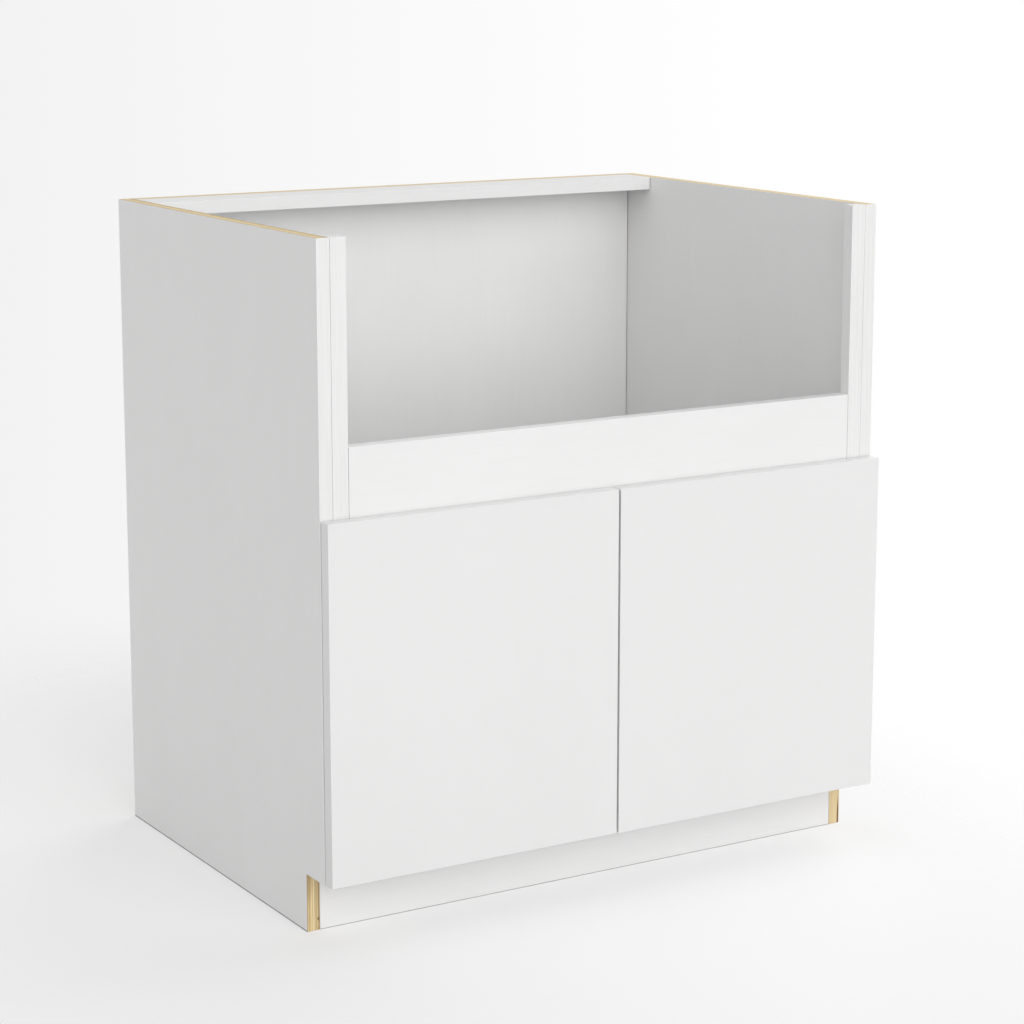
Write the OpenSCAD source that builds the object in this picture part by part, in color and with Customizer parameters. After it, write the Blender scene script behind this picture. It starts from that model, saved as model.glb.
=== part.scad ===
// Farmhouse sink base cabinet: a frameless plywood carcass with an open front for an
// apron sink, a low apron rail, and two slab doors on concealed cup hinges.
// X runs across the front, Y runs from the doors to the wall, Z is up.
// The origin is on the floor, in the middle of the cabinet's width and full depth.

/* [Cabinet] */
// Width over the two side panels
cabinet_w = 838.2; // [610:0.1:1067]
// Height from the floor to the top edges
cabinet_h = 876.3; // [820:0.1:960]
// Depth of the carcass, without the doors
carcass_d = 589.8; // [500:0.1:700]

/* [Boards] */
// Thickness of the side panels
side_t = 18; // [16:0.5:19]
// Thickness of the bottom deck
deck_t = 18; // [16:0.5:25]
// Thickness of the back panel
back_t = 18; // [16:0.5:25]
// Thickness of the white edge banding on the carcass
band_t = 1; // [0.4:0.1:2]
// Thickness of the batten that carries the deck at mid-depth
batten_t = 18; // [16:0.5:30]

/* [Toe space] */
// Height of the notch under the doors
toe_h = 76.2; // [65:0.1:120]
// Depth of the notch, from the carcass front to the kick board
toe_recess = 50; // [30:1:80]
// Thickness of the toe kick board
kick_t = 18; // [16:0.5:25]

/* [Sink front] */
// Depth of the sink opening, from the top edges to the apron rail
sink_drop = 254; // [200:1:280]
// Height of the apron rail
apron_h = 110; // [100:1:150]
// Thickness of the apron rail and depth of the front strips
apron_t = 18; // [16:0.5:25]
// Width of each vertical front strip
strip_w = 22; // [16:0.5:40]

/* [Rear stretcher] */
// Depth of the flat rail in front of the back panel
stretcher_d = 60; // [50:1:120]
// Thickness of the flat rail
stretcher_t = 18; // [16:0.5:25]

/* [Doors] */
// Height of the apron rail that shows above the doors
apron_show = 87.1; // [60:0.1:95]
// Thickness of each door, its edge banding included
door_t = 18; // [17:0.5:22]
// Thickness of the edge banding round a door
door_band_t = 1; // [0.4:0.1:2]
// Gap between the door backs and the carcass front
door_gap = 1.8; // [1.6:0.1:3]
// Distance of a door's outer edge inside the cabinet's outer face
door_reveal = 0.5; // [0:0.1:1]
// Gap between the two doors
centre_gap = 2.4; // [2:0.1:6]
// Height of the door bottoms above the toe notch
door_lift = 0; // [0:0.5:6]

/* [Hinges] */
// Distance of each hinge from its end of the door
hinge_inset = 89; // [75:1:140]
// Diameter of the bore for a hinge cup
cup_bore_d = 35; // [35:0.1:35.6]
// Wood left between the cup bore and the door's edge
cup_edge = 4.5; // [4:0.1:5]
// Depth of the hinge cup below the door's back
cup_depth = 12.6; // [12.4:0.1:13.4]
// Wall of the pressed steel cup
cup_wall = 1; // [0.8:0.1:1.2]
// Thickness of the cup's flange
flange_t = 1.2; // [0.8:0.1:1.3]
// Distance from the front edge to the screw line of the mounting plates
plate_line = 37; // [36:0.5:45]
// Distance between a plate's two screws
plate_screw_gap = 32; // [30:1:40]
// Diameter of the hinge pins
pin_d = 2.5; // [2:0.1:2.6]
// Radial clearance of the link on its pins
pin_clear = 0.05; // [0.02:0.01:0.1]
// Thickness of the pressed steel link
link_t = 2; // [1.6:0.1:2]
// Width of the link along the pins
link_w = 15.8; // [10:0.1:15.8]

/* [Fasteners] */
// Diameter of a cam lock
cam_d = 15; // [12:0.5:16]
// Depth of a cam lock
cam_depth = 12.5; // [10:0.5:13]
// Distance from a board's end to its cam's centre
cam_back = 24; // [20:1:34]
// Diameter of a cam bolt
bolt_d = 6; // [5:0.5:7]
// Length of a cam bolt in the side panel
bolt_in_side = 11; // [8:0.5:12]
// Diameter of a wood dowel
dowel_d = 8; // [6:0.5:8]
// Length of a wood dowel
dowel_l = 30; // [24:1:40]
// Clearance between a fastener and its hole
hole_clear = 0.1; // [0.05:0.05:0.3]
// Shank diameter of the small wood screws
screw_d = 3.4; // [3:0.1:4]
// Head diameter of the small wood screws
screw_head_d = 6.8; // [6:0.1:7.4]
// Length of the small wood screws in the wood
screw_l = 11; // [8:0.5:12]

/* [Hidden] */

$fn = 48;
cut = 1;                                    // how far a cut runs past a face
white = [0.93, 0.93, 0.92];
ply = [0.86, 0.76, 0.57];
steel = [0.76, 0.77, 0.78];
zinc = [0.66, 0.67, 0.68];
beech = [0.80, 0.66, 0.46];
clear_rubber = [0.85, 0.86, 0.84];

// Carcass
total_d = carcass_d + door_gap + door_t;
front_y = total_d / 2 - carcass_d;          // the carcass front plane
inner_w = cabinet_w - 2 * side_t;
back_v = carcass_d - back_t;                // depth to the face of the back panel
deck_top = toe_h + deck_t;
apron_top = cabinet_h - sink_drop;
apron_bottom = apron_top - apron_h;
apron_w = inner_w - 2 * strip_w;
stretcher_v = back_v - stretcher_d;
batten_v = (toe_recess + back_v - batten_t) / 2;

// Doors
door_bottom = toe_h + door_lift;
door_h = apron_top - apron_show - door_bottom;
door_w = (cabinet_w - centre_gap) / 2 - door_reveal;
hinge_heights = [door_bottom + door_h - hinge_inset, door_bottom + hinge_inset];
LOWER = 1;
UPPER = 0;

// Hinge, in plan: u runs inward from the side's outer face, v back from the carcass front
cup_r = cup_bore_d / 2;
cup_u = door_reveal + cup_edge + cup_r;
cup_out_r = cup_r - hole_clear;
cup_in_r = cup_r - cup_wall - 0.5;
cup_floor_v = -door_gap - cup_depth + cup_wall;
pin_r = pin_d / 2;
knuckle_wall = 1.1;
knuckle_r = pin_r + pin_clear + knuckle_wall;
arm_pin_in = 12.5;                          // from the cup's centre to the arm's pin
arm_pin_v = 11;
cup_pin_out = 10.5;                         // from the cup's centre to the cup's pin
cup_pin_deep = 5.9;                         // from the door's back to the cup's pin
arm_pin = [cup_u + arm_pin_in, arm_pin_v];
cup_pin = [cup_u - cup_pin_out, -door_gap - cup_pin_deep];
belly_v = cup_floor_v + link_t / 2 + 0.5;   // the link's lowest line, just off the cup's floor
belly = [
    cup_pin,
    [cup_pin[0] - 0.6, belly_v + 0.1],
    [arm_pin[0] - 0.2, belly_v],
    arm_pin
];
cheek_t = 1.6;                              // sheet of the arm's two cheeks
cheek_z = link_w / 2 + 0.3;                 // inner face of a cheek
arm_front_v = 22;
arm_back_v = 64;
arm_out_u = side_t + 13;                    // the arm's web, away from the panel
arm_web_t = 1.6;
ear_r = 3.6;
plate_t = 2.5;
plate_half = plate_screw_gap / 2;
plate_w = 18;
ridge_gap = 0.3;                            // from the plate's ridge to the arm
flange_r = cup_r + 2;
flange_reach = 6;                           // from a cup screw to the flange's edge
rim_relief = link_w / 2 + 1;                // half width of the cut in the cup's rim
cup_screw_half = 24;
cup_screw_u = cup_u + 6;
screw_head_t = 1.3;
arm_screw_vs = [30, 52];
arm_screw_r = 2;
arm_screw_head_r = 3.6;
slot_w = 0.9;                               // width of the cross in a screw head
bumper_r = 5;
bumper_t = door_gap - 0.4;
bumper_inset = 9;

// Carcass fasteners
cam_r = cam_d / 2;
bolt_r = bolt_d / 2;
dowel_r = dowel_d / 2;
dowel_in_side = 10;
dowel_to_cam = 45;                          // from a cam to the next dowel, along the deck
back_to_cam = 110;                          // from a cam to the next dowel, up the back
stretcher_inset = 17;
apron_dowel_inset = 25;
strip_dowel_inset = 40;
strip_dowel_in = 10;
deck_cam_inset = 65;                        // from the deck's front and back edge to a cam
deck_cam_vs = [deck_cam_inset, carcass_d / 2 + dowel_to_cam, back_v - deck_cam_inset];
deck_dowel_vs = [for (v = deck_cam_vs) v - (v > back_v / 2 ? dowel_to_cam : -dowel_to_cam)];
back_cam_inset = 60;                        // from the deck and the top edge to a cam
back_cam_zs = [toe_h + back_cam_inset, cabinet_h / 2, cabinet_h - back_cam_inset];
back_dowel_zs = [for (z = back_cam_zs) z - (z > cabinet_h / 2 ? back_to_cam : -back_to_cam)];
stretcher_cam_v = stretcher_v + stretcher_inset;
stretcher_dowel_v = stretcher_v + stretcher_d - stretcher_inset;
kick_z = toe_h / 2;
apron_dowel_zs = [apron_bottom + apron_dowel_inset, apron_top - apron_dowel_inset];
strip_dowel_zs = [
    apron_bottom + strip_dowel_inset,
    (apron_bottom + cabinet_h) / 2,
    cabinet_h - strip_dowel_inset
];
bracket_t = 2;
bracket_h = 60;
bracket_leg = 34;
bracket_z = (apron_bottom + apron_top) / 2;
bracket_screw_dz = 18;
bracket_side_in = 22;                       // from the apron's back to the side's screw line
bracket_side_v = apron_t + bracket_side_in;
bracket_front_in = 17;                      // from the apron's end to its screw line
bracket_front_u = side_t + strip_w + bracket_front_in;
cam_slack = 0.2;                            // between a cam's inner end and its bore
cam_cross = [1.4, 1.3, 3];                  // the cross in a cam: width, reach in cam radii, depth

// Places that hold a pair of sides
module at_left() {
    translate([-cabinet_w / 2, front_y, 0]) children();
}

module at_right() {
    mirror([1, 0, 0]) at_left() children();
}

module at_sides() {
    at_left() children();
    at_right() children();
}

// A board from one corner to the other, in u, v and z
module board(low, high) {
    translate(low) cube(high - low);
}

// A round bar along u that starts at u = 0
module along_u(r, l) {
    rotate([0, 90, 0]) cylinder(r = r, h = l);
}

// A round bar along v that starts at v = 0
module along_v(r, l) {
    rotate([-90, 0, 0]) cylinder(r = r, h = l);
}

// A board's cam joint: the origin is on the side's inner face, at the bolt's axis.
// The board's face with the cam is at distance half_t, below it or behind it.
module cam_place(faces_back) {
    if (faces_back) rotate([90, 0, 0]) children();
    else children();
}

module cam_cut(half_t, faces_back) {
    cam_place(faces_back) {
        translate([cam_back, 0, -half_t - cut]) cylinder(r = cam_r, h = cam_depth + cam_slack + cut);
        translate([-cut, 0, 0]) along_u(bolt_r + hole_clear, cam_back + cut);
    }
}

module cam_lock(half_t, faces_back) {
    cam_place(faces_back) difference() {
        translate([cam_back, 0, -half_t]) cylinder(r = cam_r - hole_clear, h = cam_depth);
        along_u(bolt_r + hole_clear, cam_back + bolt_r);
        for (turn = [0, 90]) translate([cam_back, 0, -half_t]) rotate([0, 0, turn])
            cube([cam_r * cam_cross[1], cam_cross[0], cam_cross[2]], center = true);
    }
}

module cam_bolt() {
    translate([-bolt_in_side, 0, 0]) along_u(bolt_r, bolt_in_side + cam_back + bolt_r - 0.5);
}

module side_bolt_hole() {
    translate([-bolt_in_side - hole_clear, 0, 0])
        along_u(bolt_r + hole_clear, bolt_in_side + hole_clear + cut);
}

// A dowel across a joint at u = 0, sunk by into on the near side
module dowel(into) {
    translate([-into, 0, 0]) along_u(dowel_r, dowel_l);
}

module dowel_hole(into) {
    translate([-into - 0.5, 0, 0]) along_u(dowel_r + hole_clear, dowel_l + 1);
}

// The places of one side's cam joints, board by board
module at_deck_cams() {
    for (v = deck_cam_vs) translate([side_t, v, toe_h + deck_t / 2]) children();
}

module at_stretcher_cams() {
    translate([side_t, stretcher_cam_v, cabinet_h - stretcher_t / 2]) children();
}

module at_back_cams() {
    for (z = back_cam_zs) translate([side_t, carcass_d - back_t / 2, z]) children();
}

module at_kick_cams() {
    translate([side_t, toe_recess + kick_t / 2, kick_z]) children();
}

module at_batten_cams() {
    translate([side_t, batten_v + batten_t / 2, kick_z]) children();
}

module at_side_dowels() {
    for (v = deck_dowel_vs) translate([side_t, v, toe_h + deck_t / 2]) children();
    for (z = back_dowel_zs) translate([side_t, carcass_d - back_t / 2, z]) children();
    translate([side_t, stretcher_dowel_v, cabinet_h - stretcher_t / 2]) children();
}

module at_strip_dowels() {
    for (z = strip_dowel_zs) translate([side_t, apron_t / 2, z]) children();
}

module at_apron_dowels() {
    for (z = apron_dowel_zs) translate([side_t + strip_w, apron_t / 2, z]) children();
}

module at_hinges() {
    for (z = hinge_heights) translate([0, 0, z]) children();
}

// Carcass boards
module side_panel() {
    difference() {
        rotate([90, 0, 90]) linear_extrude(side_t) polygon([
            [toe_recess, 0], [carcass_d, 0], [carcass_d, cabinet_h],
            [band_t, cabinet_h], [band_t, toe_h], [toe_recess, toe_h]
        ]);
        at_deck_cams() side_bolt_hole();
        at_stretcher_cams() side_bolt_hole();
        at_back_cams() side_bolt_hole();
        at_kick_cams() side_bolt_hole();
        at_batten_cams() side_bolt_hole();
        at_side_dowels() dowel_hole(dowel_in_side);
        at_strip_dowels() dowel_hole(strip_dowel_in);
        at_hinges() plate_screw_holes();
        bracket_side_holes();
    }
}

module left_side_panel() {
    color(white) at_left() side_panel();
}

module right_side_panel() {
    color(white) at_right() side_panel();
}

module side_edge_band() {
    board([0, 0, toe_h], [side_t, band_t, cabinet_h]);
}

module left_side_edge_band() {
    color(white) at_left() side_edge_band();
}

module right_side_edge_band() {
    color(white) at_right() side_edge_band();
}

module back_panel() {
    color(white) difference() {
        at_left() board([side_t, back_v, 0], [side_t + inner_w, carcass_d, cabinet_h]);
        at_sides() at_back_cams() cam_cut(back_t / 2, true);
        at_sides() at_side_dowels() dowel_hole(dowel_in_side);
    }
}

module bottom_deck() {
    color(white) difference() {
        at_left() board([side_t, band_t, toe_h], [side_t + inner_w, back_v, deck_top]);
        at_sides() at_deck_cams() cam_cut(deck_t / 2, false);
        at_sides() at_side_dowels() dowel_hole(dowel_in_side);
    }
}

module deck_edge_band() {
    color(white) at_left() board([side_t, 0, toe_h], [side_t + inner_w, band_t, deck_top]);
}

module deck_batten() {
    color(ply) difference() {
        at_left() board([side_t, batten_v, 0], [side_t + inner_w, batten_v + batten_t, toe_h]);
        at_sides() at_batten_cams() cam_cut(batten_t / 2, true);
    }
}

module toe_kick_board() {
    color(white) difference() {
        at_left() board([side_t, toe_recess, 0], [side_t + inner_w, toe_recess + kick_t, toe_h]);
        at_sides() at_kick_cams() cam_cut(kick_t / 2, true);
    }
}

module apron_rail() {
    strip_in = side_t + strip_w;
    color(white) difference() {
        at_left() board([strip_in, 0, apron_bottom], [strip_in + apron_w, apron_t, apron_top]);
        at_sides() at_apron_dowels() dowel_hole(strip_dowel_in);
        at_sides() bracket_apron_holes();
    }
}

module front_strip() {
    difference() {
        board([side_t, 0, apron_bottom], [side_t + strip_w, apron_t, cabinet_h]);
        at_strip_dowels() strip_dowel_hole();
        at_apron_dowels() dowel_hole(strip_dowel_in);
    }
}

module left_front_strip() {
    color(white) at_left() front_strip();
}

module right_front_strip() {
    color(white) at_right() front_strip();
}

module rear_stretcher() {
    low = [side_t, stretcher_v, cabinet_h - stretcher_t];
    color(white) difference() {
        at_left() board(low, [side_t + inner_w, back_v, cabinet_h]);
        at_sides() at_stretcher_cams() cam_cut(stretcher_t / 2, false);
        at_sides() at_side_dowels() dowel_hole(dowel_in_side);
    }
}

// The apron's steel brackets
module bracket_screw_places() {
    for (dz = [-bracket_screw_dz, bracket_screw_dz]) translate([0, 0, bracket_z + dz]) children();
}

module bracket_side_holes() {
    bracket_screw_places() translate([side_t - screw_l - hole_clear, bracket_side_v, 0])
        along_u(screw_d / 2 + hole_clear, screw_l + cut);
}

module bracket_apron_holes() {
    bracket_screw_places() translate([bracket_front_u, apron_t - screw_l - hole_clear, 0])
        along_v(screw_d / 2 + hole_clear, screw_l + cut);
}

module apron_bracket() {
    side_leg = apron_t + bracket_leg;
    front_leg = side_t + strip_w + bracket_leg;
    z0 = bracket_z - bracket_h / 2;
    difference() {
        union() {
            board([side_t, apron_t, z0], [side_t + bracket_t, side_leg, z0 + bracket_h]);
            board([side_t, apron_t, z0], [front_leg, apron_t + bracket_t, z0 + bracket_h]);
        }
        bracket_screw_places() translate([side_t - cut, bracket_side_v, 0])
            along_u(screw_d / 2 + hole_clear, bracket_t + 2 * cut);
        bracket_screw_places() translate([bracket_front_u, apron_t - cut, 0])
            along_v(screw_d / 2 + hole_clear, bracket_t + 2 * cut);
    }
}

module left_apron_bracket() {
    color(steel) at_left() apron_bracket();
}

module right_apron_bracket() {
    color(steel) at_right() apron_bracket();
}

// A pan head screw: the shank runs along -z from the seat at z = 0, the head stands on it
module pan_screw(r, head_r, head_t, l) {
    difference() {
        union() {
            translate([0, 0, -l]) cylinder(r = r, h = l + head_t / 2);
            cylinder(r = head_r, h = head_t);
        }
        for (turn = [0, 90]) translate([0, 0, head_t]) rotate([0, 0, turn])
            cube([head_r * 1.2, slot_w, head_t], center = true);
    }
}

module wood_screw(l) {
    pan_screw(screw_d / 2, screw_head_d / 2, screw_head_t, l);
}

module apron_bracket_screws() {
    color(zinc) at_sides() bracket_screw_places() {
        translate([side_t + bracket_t, bracket_side_v, 0])
            rotate([0, 90, 0]) wood_screw(screw_l + bracket_t);
        translate([bracket_front_u, apron_t + bracket_t, 0])
            rotate([-90, 0, 0]) wood_screw(screw_l + bracket_t);
    }
}

// Carcass fasteners
module cam_locks() {
    color(zinc) at_sides() {
        at_deck_cams() cam_lock(deck_t / 2, false);
        at_stretcher_cams() cam_lock(stretcher_t / 2, false);
        at_back_cams() cam_lock(back_t / 2, true);
        at_kick_cams() cam_lock(kick_t / 2, true);
        at_batten_cams() cam_lock(batten_t / 2, true);
    }
}

module cam_bolts() {
    color(zinc) at_sides() {
        at_deck_cams() cam_bolt();
        at_stretcher_cams() cam_bolt();
        at_back_cams() cam_bolt();
        at_kick_cams() cam_bolt();
        at_batten_cams() cam_bolt();
    }
}

// The strips' dowels are short, so that they stay inside the strip
module strip_dowel() {
    translate([-strip_dowel_in, 0, 0]) along_u(dowel_r, strip_dowel_in + strip_w / 2);
}

module strip_dowel_hole() {
    translate([-strip_dowel_in, 0, 0]) along_u(dowel_r + hole_clear, strip_dowel_in + strip_w / 2 + 0.5);
}

module wood_dowels() {
    color(beech) at_sides() {
        at_side_dowels() dowel(dowel_in_side);
        at_strip_dowels() strip_dowel();
        at_apron_dowels() dowel(strip_dowel_in);
    }
}

// Hinge mounting plate, on the side's inner face
module plate_screw_places() {
    for (s = [-1, 1]) translate([side_t, plate_line, s * plate_half]) children();
}

module plate_screw_holes() {
    plate_screw_places() translate([-screw_l - hole_clear, 0, 0])
        along_u(screw_d / 2 + hole_clear, screw_l + cut);
}

module hinge_plate() {
    ridge_u = arm_out_u - arm_web_t - ridge_gap;
    ridge_half = cheek_z - ridge_gap;
    difference() {
        union() {
            for (s = [-1, 1]) translate([side_t, plate_line, s * plate_half])
                along_u(plate_w / 2, plate_t);
            board(
                [side_t, plate_line - plate_w / 2, -plate_half],
                [side_t + plate_t, plate_line + plate_w / 2, plate_half]
            );
            board(
                [side_t, arm_front_v + 1, -ridge_half],
                [ridge_u, arm_back_v - 1, ridge_half]
            );
        }
        plate_screw_places() translate([-cut, 0, 0])
            along_u(screw_d / 2 + hole_clear, plate_t + 2 * cut);
        for (v = arm_screw_vs) translate([side_t + plate_t, v, 0])
            along_u(arm_screw_r + hole_clear, ridge_u);
    }
}

module left_upper_hinge_plate() {
    color(steel) at_left() translate([0, 0, hinge_heights[UPPER]]) hinge_plate();
}

module left_lower_hinge_plate() {
    color(steel) at_left() translate([0, 0, hinge_heights[LOWER]]) hinge_plate();
}

module right_upper_hinge_plate() {
    color(steel) at_right() translate([0, 0, hinge_heights[UPPER]]) hinge_plate();
}

module right_lower_hinge_plate() {
    color(steel) at_right() translate([0, 0, hinge_heights[LOWER]]) hinge_plate();
}

// Hinge arm: a channel over the plate's ridge, with two ears that hold the pin
module hinge_arm() {
    low_u = side_t + plate_t + ridge_gap;
    difference() {
        union() {
            for (z = [-cheek_z - cheek_t, cheek_z]) translate([0, 0, z]) linear_extrude(cheek_t) {
                translate([low_u, arm_front_v]) square([arm_out_u - low_u, arm_back_v - arm_front_v]);
                translate(arm_pin) circle(r = ear_r);
                polygon([
                    [low_u, arm_front_v],
                    arm_pin + [-ear_r * 0.8, -ear_r * 0.6],
                    arm_pin + [ear_r * 0.8, ear_r * 0.6],
                    [arm_out_u, arm_front_v + 8]
                ]);
            }
            board(
                [arm_out_u - arm_web_t, arm_front_v, -cheek_z - cheek_t],
                [arm_out_u, arm_back_v, cheek_z + cheek_t]
            );
        }
        translate([arm_pin[0], arm_pin[1], -cheek_z - cheek_t - cut])
            cylinder(r = pin_r + pin_clear, h = 2 * (cheek_z + cheek_t + cut));
        for (v = arm_screw_vs) translate([arm_out_u - arm_web_t - cut, v, 0])
            along_u(arm_screw_r + hole_clear, arm_web_t + 2 * cut);
    }
}

module left_upper_hinge_arm() {
    color(steel) at_left() translate([0, 0, hinge_heights[UPPER]]) hinge_arm();
}

module left_lower_hinge_arm() {
    color(steel) at_left() translate([0, 0, hinge_heights[LOWER]]) hinge_arm();
}

module right_upper_hinge_arm() {
    color(steel) at_right() translate([0, 0, hinge_heights[UPPER]]) hinge_arm();
}

module right_lower_hinge_arm() {
    color(steel) at_right() translate([0, 0, hinge_heights[LOWER]]) hinge_arm();
}

module hinge_plate_screws() {
    color(zinc) at_sides() at_hinges() plate_screw_places()
        translate([plate_t, 0, 0]) rotate([0, 90, 0]) wood_screw(screw_l + plate_t);
}

module hinge_arm_screws() {
    reach = arm_out_u - side_t - plate_t - 1;
    color(zinc) at_sides() at_hinges() for (v = arm_screw_vs) translate([arm_out_u, v, 0])
        rotate([0, 90, 0]) pan_screw(arm_screw_r, arm_screw_head_r, screw_head_t, reach);
}

module hinge_arm_pins() {
    l = 2 * (cheek_z + cheek_t) + 0.6;
    color(zinc) at_sides() at_hinges() translate([arm_pin[0], arm_pin[1], -l / 2])
        cylinder(r = pin_r, h = l);
}

// Hinge link: a gooseneck of steel from the arm's pin, down into the cup, to the cup's pin
module flat_bar(p, q, t) {
    d = q - p;
    translate(p) {
        rotate(atan2(d[1], d[0])) translate([0, -t / 2]) square([norm(d), t]);
        circle(r = t / 2);
    }
}

module hinge_link() {
    translate([0, 0, -link_w / 2]) linear_extrude(link_w) difference() {
        union() {
            for (i = [0 : len(belly) - 2]) flat_bar(belly[i], belly[i + 1], link_t);
            for (p = [arm_pin, cup_pin]) translate(p) circle(r = knuckle_r);
        }
        for (p = [arm_pin, cup_pin]) translate(p) circle(r = pin_r + pin_clear);
    }
}

module left_upper_hinge_link() {
    color(steel) at_left() translate([0, 0, hinge_heights[UPPER]]) hinge_link();
}

module left_lower_hinge_link() {
    color(steel) at_left() translate([0, 0, hinge_heights[LOWER]]) hinge_link();
}

module right_upper_hinge_link() {
    color(steel) at_right() translate([0, 0, hinge_heights[UPPER]]) hinge_link();
}

module right_lower_hinge_link() {
    color(steel) at_right() translate([0, 0, hinge_heights[LOWER]]) hinge_link();
}

// Doors
module door_box(inset, extra) {
    board(
        [door_reveal + inset, -door_gap - door_t - extra, door_bottom + inset],
        [door_reveal + door_w - inset, -door_gap + extra, door_bottom + door_h - inset]
    );
}

module cup_screw_places() {
    for (s = [-1, 1]) translate([cup_screw_u, -door_gap, s * cup_screw_half]) children();
}

module door_panel() {
    difference() {
        door_box(door_band_t, 0);
        at_hinges() translate([cup_u, -door_gap - cup_depth - hole_clear, 0])
            along_v(cup_r, cup_depth + hole_clear + cut);
        at_hinges() cup_screw_places() translate([0, -screw_l - hole_clear, 0])
            along_v(screw_d / 2 + hole_clear, screw_l + hole_clear + cut);
    }
}

module left_door_panel() {
    color(white) at_left() door_panel();
}

module right_door_panel() {
    color(white) at_right() door_panel();
}

module door_edge_band() {
    difference() {
        door_box(0, 0);
        door_box(door_band_t, cut);
    }
}

module left_door_edge_band() {
    color(white) at_left() door_edge_band();
}

module right_door_edge_band() {
    color(white) at_right() door_edge_band();
}

// Hinge cup: a round pressed bowl in the door, with a flange on the door's back
module hinge_cup() {
    chord = sqrt(cup_in_r * cup_in_r - (cup_u - cup_pin[0]) * (cup_u - cup_pin[0]));
    difference() {
        union() {
            translate([cup_u, -door_gap - cup_depth, 0]) along_v(cup_out_r, cup_depth);
            translate([cup_u, -door_gap, 0]) along_v(flange_r, flange_t);
            for (s = [-1, 1]) translate([cup_screw_u, -door_gap, s * cup_screw_half])
                along_v(flange_reach, flange_t);
            board(
                [cup_screw_u - flange_reach, -door_gap, -cup_screw_half],
                [cup_screw_u + flange_reach, -door_gap + flange_t, cup_screw_half]
            );
        }
        translate([cup_u, cup_floor_v, 0]) along_v(cup_in_r, cup_depth + flange_t + cut);
        // The rim is cut away where the link lies over it when the door is open
        board(
            [cup_u - flange_r - cut, -door_gap, -rim_relief],
            [cup_u, -door_gap + flange_t + cut, rim_relief]
        );
        translate([cup_pin[0], cup_pin[1], -chord - cup_wall])
            cylinder(r = pin_r, h = 2 * (chord + cup_wall));
        cup_screw_places() translate([0, -cut, 0])
            along_v(screw_d / 2 + hole_clear, flange_t + 2 * cut);
    }
}

module left_upper_hinge_cup() {
    color(steel) at_left() translate([0, 0, hinge_heights[UPPER]]) hinge_cup();
}

module left_lower_hinge_cup() {
    color(steel) at_left() translate([0, 0, hinge_heights[LOWER]]) hinge_cup();
}

module right_upper_hinge_cup() {
    color(steel) at_right() translate([0, 0, hinge_heights[UPPER]]) hinge_cup();
}

module right_lower_hinge_cup() {
    color(steel) at_right() translate([0, 0, hinge_heights[LOWER]]) hinge_cup();
}

module cup_pins() {
    chord = sqrt(cup_in_r * cup_in_r - (cup_u - cup_pin[0]) * (cup_u - cup_pin[0]));
    at_hinges() translate([cup_pin[0], cup_pin[1], -chord - cup_wall + 0.1])
        cylinder(r = pin_r - 0.01, h = 2 * (chord + cup_wall - 0.1));
}

module left_cup_pins() {
    color(zinc) at_left() cup_pins();
}

module right_cup_pins() {
    color(zinc) at_right() cup_pins();
}

module cup_screws() {
    at_hinges() cup_screw_places() translate([0, flange_t, 0])
        rotate([-90, 0, 0]) pan_screw(screw_d / 2, screw_head_d / 2, 0.4, screw_l + flange_t);
}

module left_cup_screws() {
    color(zinc) at_left() cup_screws();
}

module right_cup_screws() {
    color(zinc) at_right() cup_screws();
}

// Soft buttons on the door's free corners, which rest near the apron and the deck
module door_bumpers() {
    u = door_reveal + door_w - bumper_inset;
    for (z = [door_bottom + bumper_inset, door_bottom + door_h - bumper_inset])
        translate([u, -door_gap, z]) along_v(bumper_r, bumper_t);
}

module left_door_bumpers() {
    color(clear_rubber) at_left() door_bumpers();
}

module right_door_bumpers() {
    color(clear_rubber) at_right() door_bumpers();
}

left_side_panel();
right_side_panel();
left_side_edge_band();
right_side_edge_band();
back_panel();
bottom_deck();
deck_edge_band();
deck_batten();
toe_kick_board();
apron_rail();
left_front_strip();
right_front_strip();
rear_stretcher();
left_apron_bracket();
right_apron_bracket();
apron_bracket_screws();
cam_locks();
cam_bolts();
wood_dowels();
left_upper_hinge_plate();
left_lower_hinge_plate();
right_upper_hinge_plate();
right_lower_hinge_plate();
left_upper_hinge_arm();
left_lower_hinge_arm();
right_upper_hinge_arm();
right_lower_hinge_arm();
hinge_plate_screws();
hinge_arm_screws();
hinge_arm_pins();
left_upper_hinge_link();
left_lower_hinge_link();
right_upper_hinge_link();
right_lower_hinge_link();
left_door_panel();
right_door_panel();
left_door_edge_band();
right_door_edge_band();
left_upper_hinge_cup();
left_lower_hinge_cup();
right_upper_hinge_cup();
right_lower_hinge_cup();
left_cup_pins();
right_cup_pins();
left_cup_screws();
right_cup_screws();
left_door_bumpers();
right_door_bumpers();
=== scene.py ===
# %% [markdown]
# # A farmhouse sink base cabinet
#
# A farmhouse sink has its own front, the apron, so the cabinet that carries it has no
# rail and no drawer front at the top: the sides run up past a wide opening, and two
# short doors close what is left. The boards are painted plywood, and the raw plies still
# show along the top edges and in the toe notch.
#
# The construction is already made and packed. It comes in as a fixed frame: every board,
# hinge and screw has its real size and place in metres, with the floor at Z = 0 and the
# doors towards -Y. This file only gives those pieces their looks, so it starts by loading
# the frame and noting the box that the whole cabinet fills.

# %% The fixed frame
import math

import bmesh
import bpy
import numpy as np
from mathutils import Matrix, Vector
from mathutils.geometry import tessellate_polygon


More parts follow.
